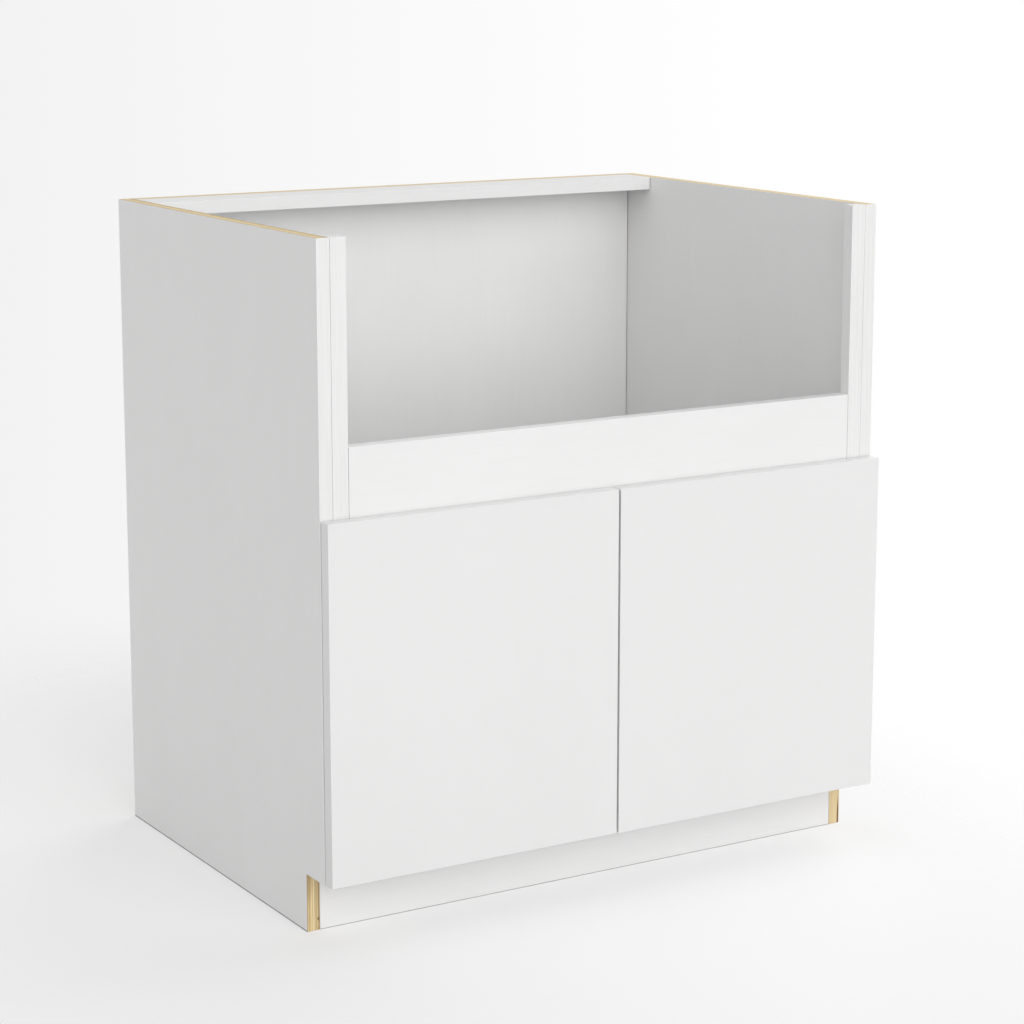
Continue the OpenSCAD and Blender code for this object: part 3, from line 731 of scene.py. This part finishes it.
# %% Separate solids of a node
def solid_centres(node_name, inside=None):
    """Centres of the separate solids of a CAD node, or only of those inside a box.

    Points that share a place or an edge belong together. Each point starts with a label of
    its own, and takes the lowest label among its neighbours until nothing changes.
    """
    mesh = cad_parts[node_name].data
    places = np.empty(3 * len(mesh.vertices), np.float32)
    mesh.vertices.foreach_get("co", places)
    edges = np.empty(2 * len(mesh.edges), np.int32)
    mesh.edges.foreach_get("vertices", edges)
    places, index = np.unique(places.reshape(-1, 3).round(6), axis=0, return_inverse=True)
    edges = index.ravel()[edges].reshape(-1, 2)
    label, before = np.arange(len(places)), None
    while before is None or np.any(label != before):
        before = label.copy()
        np.minimum.at(label, edges[:, 0], before[edges[:, 1]])
        np.minimum.at(label, edges[:, 1], before[edges[:, 0]])
        label = label[label]
    groups = [places[label == value] for value in np.unique(label)]
    centres = np.array([(group.min(0) + group.max(0)) / 2 for group in groups])
    if inside is None:
        return centres
    low, high = inside
    return centres[np.all((centres > low) & (centres < high), axis=1)]


print("cam fittings in the whole cabinet:", len(solid_centres("cam_locks")))

# %% [markdown]
# ## Back, deck, toe kick and rear rail
#
# These are plain rectangles between the sides. The back and the rail are held by cam
# fittings: a round pocket takes a cam that pulls on a bolt in the side. The pockets in the
# back board's rear face are bored here, round the cams that the frame already holds.

# %% Boards between the sides
CREASE_EASE = 0.8 * MM
DECK_EDGING_EASE = 0.3 * MM
FIT_GAP = 0.8 * MM        # air between two boards that meet
KICK_GAP = 0.5 * MM
CAM_DEPTH = 12.7 * MM
CAM_RADIUS = 7.5 * MM


def level_board(node_name, across, ease, skins, slot, edge_skin=0, bores=(), gap=(0, 0, 0)):
    """A rectangular board in a CAD node's box, with a little air left round it."""
    low, high = corners(node_name)
    low, high = low + gap, high - gap
    plane = [(across + 1) % 3, (across + 2) % 3]
    shape = rectangle(low[plane], high[plane])
    made = board(shape, across, low[across], high[across], ease, edge_skin, bores)
    return made.piece(node_name + "_finished", skins, "carcass", slot, node_name)


back_low, back_high = corners("back_panel")
back_cams = solid_centres("cam_locks", (back_low, back_high))
back_bores = [((place[Z], place[X]), CAM_RADIUS, CAM_DEPTH, True) for place in back_cams]
upright_ease = [CREASE_EASE, SAWN_EASE, CREASE_EASE, FOOT_EASE]     # left, top, right, foot
back_board = level_board(
    "back_panel", Y, upright_ease, [paint_upright, plies_back], "white_board", 1, back_bores,
    gap=(FIT_GAP, 0, 0),
)
rail_ease = [SAWN_EASE, CREASE_EASE, SAWN_EASE, CREASE_EASE]
rear_rail = level_board(
    "rear_stretcher", Z, rail_ease, [rail_paint], "white_board", gap=(FIT_GAP, 0, 0)
)
deck = level_board("bottom_deck", Z, SAWN_EASE, [paint_level, plies_hidden], "white_board", 1)
deck_edging = level_board("deck_edge_band", Y, DECK_EDGING_EASE, [edging_level], "edge_band")
kick_ease = [SAWN_EASE, SAWN_EASE, SAWN_EASE, FOOT_EASE]
kick = level_board(
    "toe_kick_board", Y, kick_ease, [kick_paint_lifted], "white_board", gap=(KICK_GAP, 0, 0)
)
print("back board:", len(back_bores), "cam pockets")
for made in (back_board, rear_rail, deck, deck_edging, kick):
    print(made.name, "holds", round(volume_of(made)), "cubic cm")

# %% [markdown]
# ## The sink front
#
# A low apron rail closes the front under the sink, and a narrow strip stands beside the
# opening on each side. They are painted before they go in, so a hairline shows where the
# eased edges meet.

# %% Apron rail and front strips
HAIRLINE_EASE = 0.6 * MM
HAIRLINE = (0.25 * MM, 0, 0)
apron = level_board("apron_rail", Y, HAIRLINE_EASE, [apron_paint], "white_board", gap=HAIRLINE)
strips = [
    level_board(
        f"{hand}_front_strip", Y, HAIRLINE_EASE, [edging_paint], "white_board", gap=HAIRLINE
    )
    for hand in ("left", "right")
]
for made in (apron, *strips):
    print(made.name, "holds", round(volume_of(made)), "cubic cm")

# %% [markdown]
# ## The doors
#
# Each door is a flat slab. Its core is a board with two round pockets for the hinge cups,
# and a band of white edging runs round all four edges. The band is a closed profile carried
# round the door's outline: two rounded outer corners and a flat back that lies on the core.

# %% Edging of a door
DOOR_ROUND = 0.8 * MM
DOOR_BACK_EASE = 0.3 * MM
DOOR_CORNER_ROUND = 1.2   # radius of the door's corners, over DOOR_ROUND
DOOR_SANDED = 0.2 * MM    # taken off the edging, so that the doors never rub


def edging_ring(outline, across, low, high, width, ease, last_ease):
    """A band round an outline: the eased profile outside, closed by a flat back."""
    shell = Shell()
    outline = rounded(outline, DOOR_CORNER_ROUND * ease)
    inset, depth = eased_profile(high - low, ease, last_ease)
    inset = np.append(inset, [[width], [width]], axis=0)
    depth = np.append(depth, [[high - low], [0]], axis=0)
    rows, columns = len(inset), len(outline)
    shell.add_points(carried(outline, inset, low + depth, across))
    row_curved = (np.arange(rows) < 2 * ARC_STEPS + 1) & (np.arange(rows) != ARC_STEPS)
    shell.add_faces(
        ring_faces(rows, columns, closed=True),
        ring_places(outline, np.append(depth, depth[:1], axis=0)),
        0,
        np.repeat(row_curved, columns),
    )
    return shell


print("between the doors the edging leaves", round(2 * DOOR_SANDED / MM, 1), "mm more room")

# %% [markdown]
# The pockets have to meet the cups exactly. The round flange of a cup touches the side of
# its box that faces away from the hinge arm, so the cup's axis lies one flange radius from
# there. The bores are made round that axis.

# %% Slab doors
DOOR_CORE_EASE = 0.1 * MM
CUP_BORE_RADIUS = 17.5 * MM
CUP_BORE_DEPTH = 12.7 * MM
FLANGE_RADIUS = CUP_BORE_RADIUS + 2 * MM


def cup_axis(hand, level):
    """X and Z of a hinge cup's axis, from the side of its round flange that has no cut."""
    low, high = corners(f"{hand}_{level}_hinge_cup")
    x = high[X] - FLANGE_RADIUS if hand == "left" else low[X] + FLANGE_RADIUS
    return x, (low[Z] + high[Z]) / 2


def make_door(hand):
    """One slab door: its core with the hinge pockets, and the edging round it."""
    core_low, core_high = corners(f"{hand}_door_panel")
    cups = [cup_axis(hand, level) for level in ("upper", "lower")]
    bores = [((z, x), CUP_BORE_RADIUS, CUP_BORE_DEPTH, True) for x, z in cups]
    shape = rectangle(core_low[[Z, X]], core_high[[Z, X]])
    core = board(shape, Y, core_low[Y], core_high[Y], DOOR_CORE_EASE, bores=bores)
    core.piece(
        f"{hand}_door_slab", [door_paint], f"{hand}_door", "door_white", f"{hand}_door_panel"
    )
    low, high = corners(f"{hand}_door_edge_band")
    sanded = rectangle(low[[Z, X]] + DOOR_SANDED, high[[Z, X]] - DOOR_SANDED)
    width = core_low[X] - low[X] - DOOR_SANDED
    band = edging_ring(sanded, Y, low[Y], high[Y], width, DOOR_ROUND, DOOR_BACK_EASE)
    return band.piece(
        f"{hand}_door_edging", [door_paint], f"{hand}_door", "edge_band", f"{hand}_door_edge_band"
    )


door_bands = [make_door(hand) for hand in ("left", "right")]
print("edging of one door:", round(volume_of(door_bands[0]), 1), "cubic cm")

# %% [markdown]
# ## Plated metal
#
# The hinges are pressed steel with a nickel finish. Screws, cams and bolts are zinc, greyer
# and rougher. Both show a fine brushed grain and a gloss that varies a little, so one
# function makes both. Noise stretched along X gives the grain without any picture of it.

# %% Nickel and zinc
BRUSH_RATE = (150, 4000, 4000)    # of the brushed grain, per metre along X, Y and Z
METAL_CLOUD_RATE = (120, 120, 120)
METAL_DARK = 0.86                 # of the metal's colour, where it is dullest
METAL_GLOSS = (-0.06, 0.08)       # change in roughness from line to line
BRUSH_RELIEF = 0.004 * MM
NICKEL = (0.74, 0.73, 0.70)
ZINC = (0.62, 0.63, 0.64)


def plated_metal(name, colour, roughness, brushed):
    """A plated metal with a faint brushed grain along X."""
    material, tree, shader = new_material(name)
    place = node(tree, "ShaderNodeTexCoord").outputs["Object"]
    lines = noise(tree, place, BRUSH_RATE, 3.0)
    clouds = noise(tree, place, METAL_CLOUD_RATE, 3.0)
    dark = tuple(METAL_DARK * value for value in colour) + (1,)
    mixed = between(tree, spread(tree, clouds, 0, 1), dark, colour + (1,))
    gloss = spread(tree, lines, roughness + METAL_GLOSS[0], roughness + METAL_GLOSS[1])
    bump = slopes(tree, lines, BRUSH_RELIEF, brushed)
    fill(tree, shader, {"Base Color": mixed, "Metallic": 1.0, "Roughness": gloss, "Normal": bump})
    return material


nickel = plated_metal("nickel_plate", NICKEL, roughness=0.24, brushed=0.5)
zinc = plated_metal("zinc_plate", ZINC, roughness=0.36, brushed=0.3)
print("metals:", nickel.name, "and", zinc.name)

# %% [markdown]
# ## Wood pins and soft buttons
#
# The dowels are beech, a pale wood with short dark flecks. The small buttons that quieten
# the doors are clear rubber: a milky colour that lets some light through. Each is two
# colours and a noise between them, which is all that shows at their size.

# %% Beech and rubber
def two_tones(name, rate, detail, first, second, roughness):
    """A material whose colour wanders between two, with a noise of the given rate."""
    material, tree, shader = new_material(name)
    place = node(tree, "ShaderNodeTexCoord").outputs["Object"]
    share = spread(tree, noise(tree, place, rate, detail), 0, 1)
    fill(tree, shader, {"Base Color": between(tree, share, first, second), "Roughness": roughness})
    return material, shader


FLECK_RATE = (90, 1500, 1500)     # long along a dowel, which lies along X
BEECH = ((0.50, 0.32, 0.17, 1), (0.72, 0.52, 0.32, 1))
RUBBER_RATE = (400, 400, 400)
RUBBER = ((0.62, 0.64, 0.63, 1), (0.75, 0.76, 0.74, 1))
RUBBER_CLEAR = 0.35               # share of the light that goes through
beech_wood, _ = two_tones("beech_wood", FLECK_RATE, 3.0, *BEECH, roughness=0.65)
soft_rubber, rubber_shader = two_tones("clear_rubber", RUBBER_RATE, 2.0, *RUBBER, roughness=0.3)
rubber_shader.inputs["Transmission Weight"].default_value = RUBBER_CLEAR
print("small pieces:", beech_wood.name, "and", soft_rubber.name)

# %% [markdown]
# ## Finishes for the CAD pieces
#
# Hinge arms, plates, screws, cams, bolts and dowels already have their true shapes, so they
# stay as they are. Only the material in their slots changes, found by words in their names.

# %% Dressing the fittings
def dress(material, slot, *names):
    """Gives CAD nodes whose names hold one of these words a material."""
    dressed = [
        made for key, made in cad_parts.items()
        if any(name in key for name in names) and not made.hide_render
    ]
    for made in dressed:
        for place in made.material_slots:
            place.material = material
    return len(dressed)


FINISHES = (
    (nickel, "hinge_steel", ("hinge_plate", "hinge_arm", "hinge_link", "bracket")),
    (zinc, "zinc_screw", ("screws", "pins", "cam_bolts")),
    (zinc, "zinc_cam", ("cam_locks",)),
    (beech_wood, "beech_dowel", ("wood_dowels",)),
    (plies_hidden, "raw_plywood", ("deck_batten",)),
)
for material, slot, names in FINISHES:
    print(slot, "on", dress(material, slot, *names), "CAD nodes")

# %% [markdown]
# ## Turned pieces
#
# A Spin or a Screw modifier turns a profile round an axis, but the profile stays the same
# all the way. Here radius and height may change with the angle too, so one function turns
# a plain dome as well as a cup with ears.

# %% A turned surface
TURN_STEPS = 144


def turned(shell, radius, level, axis, mirrored):
    """Adds a profile turned round an axis along Y, closed at both ends.

    P(k, i) = axis + (radius * cos a, level, radius * sin a), where a goes once round. The
    radius and level may change with both k and a. The first row is the middle of the front.
    """
    a = np.linspace(0, 2 * np.pi, TURN_STEPS, endpoint=False)
    side = -1 if mirrored else 1
    radius, level = np.broadcast_arrays(radius, level)
    x, z = axis[0] + side * radius * np.cos(a), axis[1] + radius * np.sin(a)
    points = np.stack(np.broadcast_arrays(x, level, z), -1)
    first = shell.add_points(points)
    quads = first + ring_faces(len(points), TURN_STEPS)
    front = first + np.arange(TURN_STEPS)[None, ::-1]
    back = first + (len(points) - 1) * TURN_STEPS + np.arange(TURN_STEPS)[None]
    for faces, curved in ((quads, True), (front, False), (back, False)):
        shell.add_faces(faces[:, ::side], np.zeros(faces.shape + (2,)), 0, curved)


print("a turned piece has", TURN_STEPS, "steps round its axis")

# %% [markdown]
# ## Hinge cups
#
# A hinge cup is a bowl pressed from one sheet of steel. Its edge rolls over into a flange,
# with an ear above and below for a screw. One cylinder cut out of another would have sharp
# edges, but pressed steel bends in small arcs, and those are what shine. The flange reaches
# out along the ears, and sinks to the level of the door on the outer side, where the link
# lies over the rim when the door is open.

# %% Outline of the flange
EAR_PLACE = (6.0 * MM, 24.0 * MM)          # of an ear's screw, from the cup's axis
EAR_RADIUS = 6.0 * MM


def flange_outline():
    """Radius of the flange for each angle: the larger of the disc and the ears.

    Along a direction d, the end of an ear with centre c and radius e is at
    c . d + sqrt((c . d)^2 - |c|^2 + e^2). A running mean rounds the inner corners.
    """
    a = np.linspace(0, 2 * np.pi, TURN_STEPS, endpoint=False)
    reach = np.full(TURN_STEPS, FLANGE_RADIUS)
    for up in (1, -1):
        along = EAR_PLACE[0] * np.cos(a) + up * EAR_PLACE[1] * np.sin(a)
        inside = along**2 - EAR_PLACE[0] ** 2 - EAR_PLACE[1] ** 2 + EAR_RADIUS**2
        end = np.where((inside > 0) & (along > 0), along + np.sqrt(np.maximum(inside, 0)), 0)
        reach = np.maximum(reach, end)
    return (np.roll(reach, 1) + 2 * reach + np.roll(reach, -1)) / 4


print("the flange reaches", round(flange_outline().max() / MM, 1), "mm from the cup's axis")

# %% [markdown]
# The cup's profile starts in the middle of its floor, climbs the wall, rolls over the lip,
# runs out along the flange and comes back underneath. Each bend is a quarter arc. A smooth
# step, 3 r^2 - 2 r^3, sinks the flange over a few degrees, so that no edge shows there.

# %% Hinge cups
CUP_INNER = 16.0 * MM
CUP_OUTER = 17.4 * MM
CUP_SHEET = 1.0 * MM
CUP_BEND = 3.0 * MM
LIP_ROLL = 1.0 * MM
FLANGE_SHEET = 1.2 * MM
CUT_HALF_ANGLE = math.radians(31)          # where the flange is sunk, on the outer side
CUT_SLOPE = math.radians(10)
SUNK_SHARE = 0.05                          # of the flange's thickness, left there
ROLL_SHARE = 0.4                           # of the thickness, rounded off at its edge


def make_cup(hand, level):
    """One hinge cup, from the middle of its floor over the flange to the middle of its back.

    A bend goes bend * (1 - sin t) one way and bend * (1 - cos t) the other, for t from 0 to
    90 degrees. The flange reaches CUP_OUTER + (outline - CUP_OUTER) * present at each angle,
    and its thickness is multiplied by present too.
    """
    low, high = corners(f"{hand}_{level}_hinge_cup")
    from_cut = np.abs(np.linspace(0, 2 * np.pi, TURN_STEPS, endpoint=False) - np.pi)
    rise = np.clip((from_cut - CUT_HALF_ANGLE) / CUT_SLOPE, 0, 1)
    present = np.maximum(rise**2 * (3 - 2 * rise), SUNK_SHARE)
    flange = CUP_OUTER + (flange_outline() - CUP_OUTER) * present
    under, floor, bottom = high[Y] - FLANGE_SHEET, low[Y] + CUP_SHEET, low[Y]
    top = under + FLANGE_SHEET * present
    round_over = ROLL_SHARE * FLANGE_SHEET * present
    t = np.linspace(0, np.pi / 2, ARC_STEPS + 1)[:, None]
    near, far = 1 - np.sin(t), 1 - np.cos(t)
    flat = np.ones((1, TURN_STEPS))
    radius = np.concatenate([
        (CUP_INNER - CUP_BEND * near) * flat,
        (CUP_INNER + LIP_ROLL * far) * flat,
        flange - round_over * near,
        flange * flat,
        (CUP_OUTER - CUP_BEND * far) * flat,
    ])
    depth = np.concatenate([
        (floor + CUP_BEND * far) * flat,
        top - LIP_ROLL * near,
        top - round_over * far,
        under * flat,
        (bottom + CUP_BEND * near) * flat,
    ])
    shell = Shell()
    turned(shell, radius, depth, cup_axis(hand, level), hand == "right")
    name = f"{hand}_{level}_hinge_cup"
    return shell.piece(f"{name}_pressed", [nickel], f"{hand}_door", "hinge_steel", name)


cups = [make_cup(hand, level) for hand in ("left", "right") for level in ("upper", "lower")]
print("steel in one hinge cup:", round(volume_of(cups[0]), 2), "cubic cm")

# %% [markdown]
# ## Door buttons
#
# Two soft domes near a door's free edge keep it from knocking. They are turned as well,
# from a profile a little fuller than an ellipse.

# %% Door buttons
BUTTON_ROWS = 7
BUTTON_START = math.radians(85)            # just short of the dome's top, which is a flat dot
BUTTON_FULLNESS = 0.7                      # 1 is a half ellipse, less is fuller


def make_buttons(hand):
    """The domed buttons of one door: radius * (cos t)^fullness and height * sin t for each."""
    name = f"{hand}_door_bumpers"
    low, high = corners(name)
    shell = Shell()
    t = np.linspace(BUTTON_START, 0, BUTTON_ROWS)[:, None]
    places = solid_centres(name)
    radius = (high[X] - low[X]) / 2
    for place in places:
        dome = radius * np.cos(t) ** BUTTON_FULLNESS
        level = low[Y] + (high[Y] - low[Y]) * np.sin(t)
        turned(shell, dome * np.ones((1, TURN_STEPS)), level, (place[X], place[Z]), False)
    return shell.piece(f"{name}_domed", [soft_rubber], f"{hand}_door", "clear_bumper", name)


buttons = [make_buttons(hand) for hand in ("left", "right")]
print("rubber in the buttons of one door:", round(volume_of(buttons[0]), 3), "cubic cm")

# %% [markdown]
# ## Studio floor
#
# The photograph has a white floor that fades into a white backdrop. A curved backdrop of one
# sheet would do it in a studio. Here the floor is a real surface near the cabinet, so that
# it keeps the shadow, and it turns clear further out, so no edge or corner can show from any
# side.

# %% Floor
FLOOR_RADIUS = 5.0
FLOOR_GROWTH = 1.5        # above 1, the rings get wider outwards
FLOOR_RINGS = 24
FLOOR_SPOKES = 96


def make_floor():
    """A round floor: points at radius r and angle a, where ring k of n has
    r = (k / n) ^ FLOOR_GROWTH * FLOOR_RADIUS.
    """
    r = np.linspace(0, 1, FLOOR_RINGS + 1)[1:] ** FLOOR_GROWTH * FLOOR_RADIUS
    a = np.linspace(0, 2 * np.pi, FLOOR_SPOKES, endpoint=False)
    rings = np.stack(
        [r[:, None] * np.cos(a), r[:, None] * np.sin(a), np.zeros((FLOOR_RINGS, FLOOR_SPOKES))], -1
    )
    mesh = bpy.data.meshes.new("studio_floor")
    quads = ring_faces(FLOOR_RINGS, FLOOR_SPOKES)[:, ::-1]
    middle = np.arange(FLOOR_SPOKES)[None]
    mesh.from_pydata(rings.reshape(-1, 3).tolist(), [], middle.tolist() + quads.tolist())
    floor = bpy.data.objects.new("studio_floor", mesh)
    scene.collection.objects.link(floor)
    return floor


studio_floor = make_floor()
print("floor radius", FLOOR_RADIUS, "m")

# %% [markdown]
# The floor has two faces, so to speak. For the camera it is almost white and fades into the
# backdrop in an oval. For light on its way it is a little greyer, as a real floor is, so
# that the cabinet isn't lit too strongly from below.

# %% Finish of the floor
FLOOR_SEEN = 0.97         # how white the camera sees it
FLOOR_CLEAR = 0.36        # how much of the backdrop shows through it near the cabinet
FLOOR_BOUNCE = 0.76       # how much light it throws back on the cabinet
FLOOR_ROUGHNESS = 0.9
FADE_MIDDLE = (-0.13, -0.21, 0)    # of the oval where the floor is most solid
FADE_WIDTH = (0.36, 1.0)           # half widths at which the fade starts and ends
FADE_LENGTH = 1.8                  # length of the oval, along Y, over its width


def seen_directly(tree):
    """1 for what the camera sees, straight or in metal or glass, and 0 for light on its way."""
    rays = node(tree, "ShaderNodeLightPath").outputs
    looked = 0.0
    for kind in ("Is Camera Ray", "Is Glossy Ray", "Is Transmission Ray"):
        inputs = {0: looked, 1: rays[kind]}
        looked = node(tree, "ShaderNodeMath", inputs, operation="MAXIMUM").outputs[0]
    return looked


def floor_material():
    """Matt white in an oval round the cabinet, and clear far from it."""
    material, tree, shader = new_material("studio_floor")
    looked = node(tree, "ShaderNodeLightPath").outputs["Is Camera Ray"]
    colour = between(tree, looked, grey(FLOOR_BOUNCE), grey(FLOOR_SEEN))
    matt = {"Roughness": FLOOR_ROUGHNESS, "Specular IOR Level": 0.0}
    fill(tree, shader, {"Base Color": colour, **matt})
    place = node(tree, "ShaderNodeTexCoord").outputs["Object"]
    away = distance(tree, place, FADE_MIDDLE, (1, FADE_LENGTH, 1))
    start, end = FADE_WIDTH
    inputs = {"Value": away, "From Min": start, "From Max": end, "To Min": FLOOR_CLEAR}
    far = node(tree, "ShaderNodeMapRange", inputs, interpolation_type="SMOOTHSTEP").outputs[0]
    share = product(tree, far, seen_directly(tree))
    clear = node(tree, "ShaderNodeBsdfTransparent")
    mixed = node(tree, "ShaderNodeMixShader", {0: share, 1: shader.outputs[0], 2: clear.outputs[0]})
    fill(tree, tree.nodes["Material Output"], {"Surface": mixed.outputs[0]})
    return material


studio_floor.data.materials.append(floor_material())
print("the floor is clear", FADE_WIDTH[1], "m either side of the oval's middle")

# %% [markdown]
# ## Backdrop and sky
#
# The backdrop is a little darker on the left. It comes from the world, by direction alone,
# and only for rays that look: light on its way to the cabinet finds an even sky instead. So
# the backdrop can be as white as the photograph's without throwing more light on anything.

# %% World
CAMERA_RIGHT = (math.cos(CAMERA_TURN), -math.sin(CAMERA_TURN), 0)
BACKDROP_LEFT = 0.888
BACKDROP_RIGHT = 1.0
BACKDROP_FULL = 0.48      # of the way from the middle to the right edge, where it gets white
SKY_LIGHT = 0.41


def studio_world():
    """An even sky for the light, and a backdrop that brightens to the right for the eye."""
    world = bpy.data.worlds.new("studio")
    world.use_nodes = True
    tree = world.node_tree
    tree.nodes.clear()
    direction = node(tree, "ShaderNodeTexCoord").outputs["Generated"]
    inputs = {0: direction, 1: CAMERA_RIGHT}
    across = node(tree, "ShaderNodeVectorMath", inputs, operation="DOT_PRODUCT").outputs["Value"]
    half_view = SENSOR_MM / 2 / LENS_MM
    inputs = {
        "Value": across, "From Min": -half_view, "From Max": BACKDROP_FULL * half_view,
        "To Min": BACKDROP_LEFT, "To Max": BACKDROP_RIGHT,
    }
    shade = node(tree, "ShaderNodeMapRange", inputs).outputs[0]
    seen = node(tree, "ShaderNodeBackground", {"Color": shade})
    light = node(tree, "ShaderNodeBackground", {"Color": grey(1.0), "Strength": SKY_LIGHT})
    looked = seen_directly(tree)
    mixed = node(tree, "ShaderNodeMixShader", {0: looked, 1: light.outputs[0], 2: seen.outputs[0]})
    node(tree, "ShaderNodeOutputWorld", {"Surface": mixed.outputs[0]})
    scene.world = world
    return world


print("world:", studio_world().name, "with sky strength", SKY_LIGHT)

# %% [markdown]
# ## Lamps
#
# The light is soft, as in a light tent. Area lamps would do it, but they light the near side
# of a cabinet more than the far one. A sun lamp with a wide angle lights like a soft box
# that is far away, the same on every part. Four of them stand round the cabinet. Their
# strengths were found by matching the grey of each face with the photograph.

# %% Lamps
LAMPS = (                 # name, azimuth, elevation, width, all in degrees, and strength
    ("left_lamp", -70, 25, 60, 0.66),
    ("front_lamp", 0, 25, 60, 1.33),
    ("low_front_lamp", 0, 5, 40, 0.37),
    ("right_lamp", 110, 25, 60, 1.17),
)


def wide_sun(name, azimuth, elevation, width, strength):
    """A sun lamp that shines from azimuth and elevation. Azimuth 0 is in front, 90 is +X."""
    lamp = bpy.data.lights.new(name, "SUN")
    lamp.angle = math.radians(width)
    lamp.energy = strength
    a, e = math.radians(azimuth), math.radians(elevation)
    towards = Vector((math.sin(a) * math.cos(e), -math.cos(a) * math.cos(e), math.sin(e)))
    made = bpy.data.objects.new(name, lamp)
    made.rotation_euler = (-towards).to_track_quat("-Z", "Y").to_euler()
    scene.collection.objects.link(made)
    return made


for lamp in LAMPS:
    print("lamp", wide_sun(*lamp).name)
scene.view_settings.view_transform = "Standard"
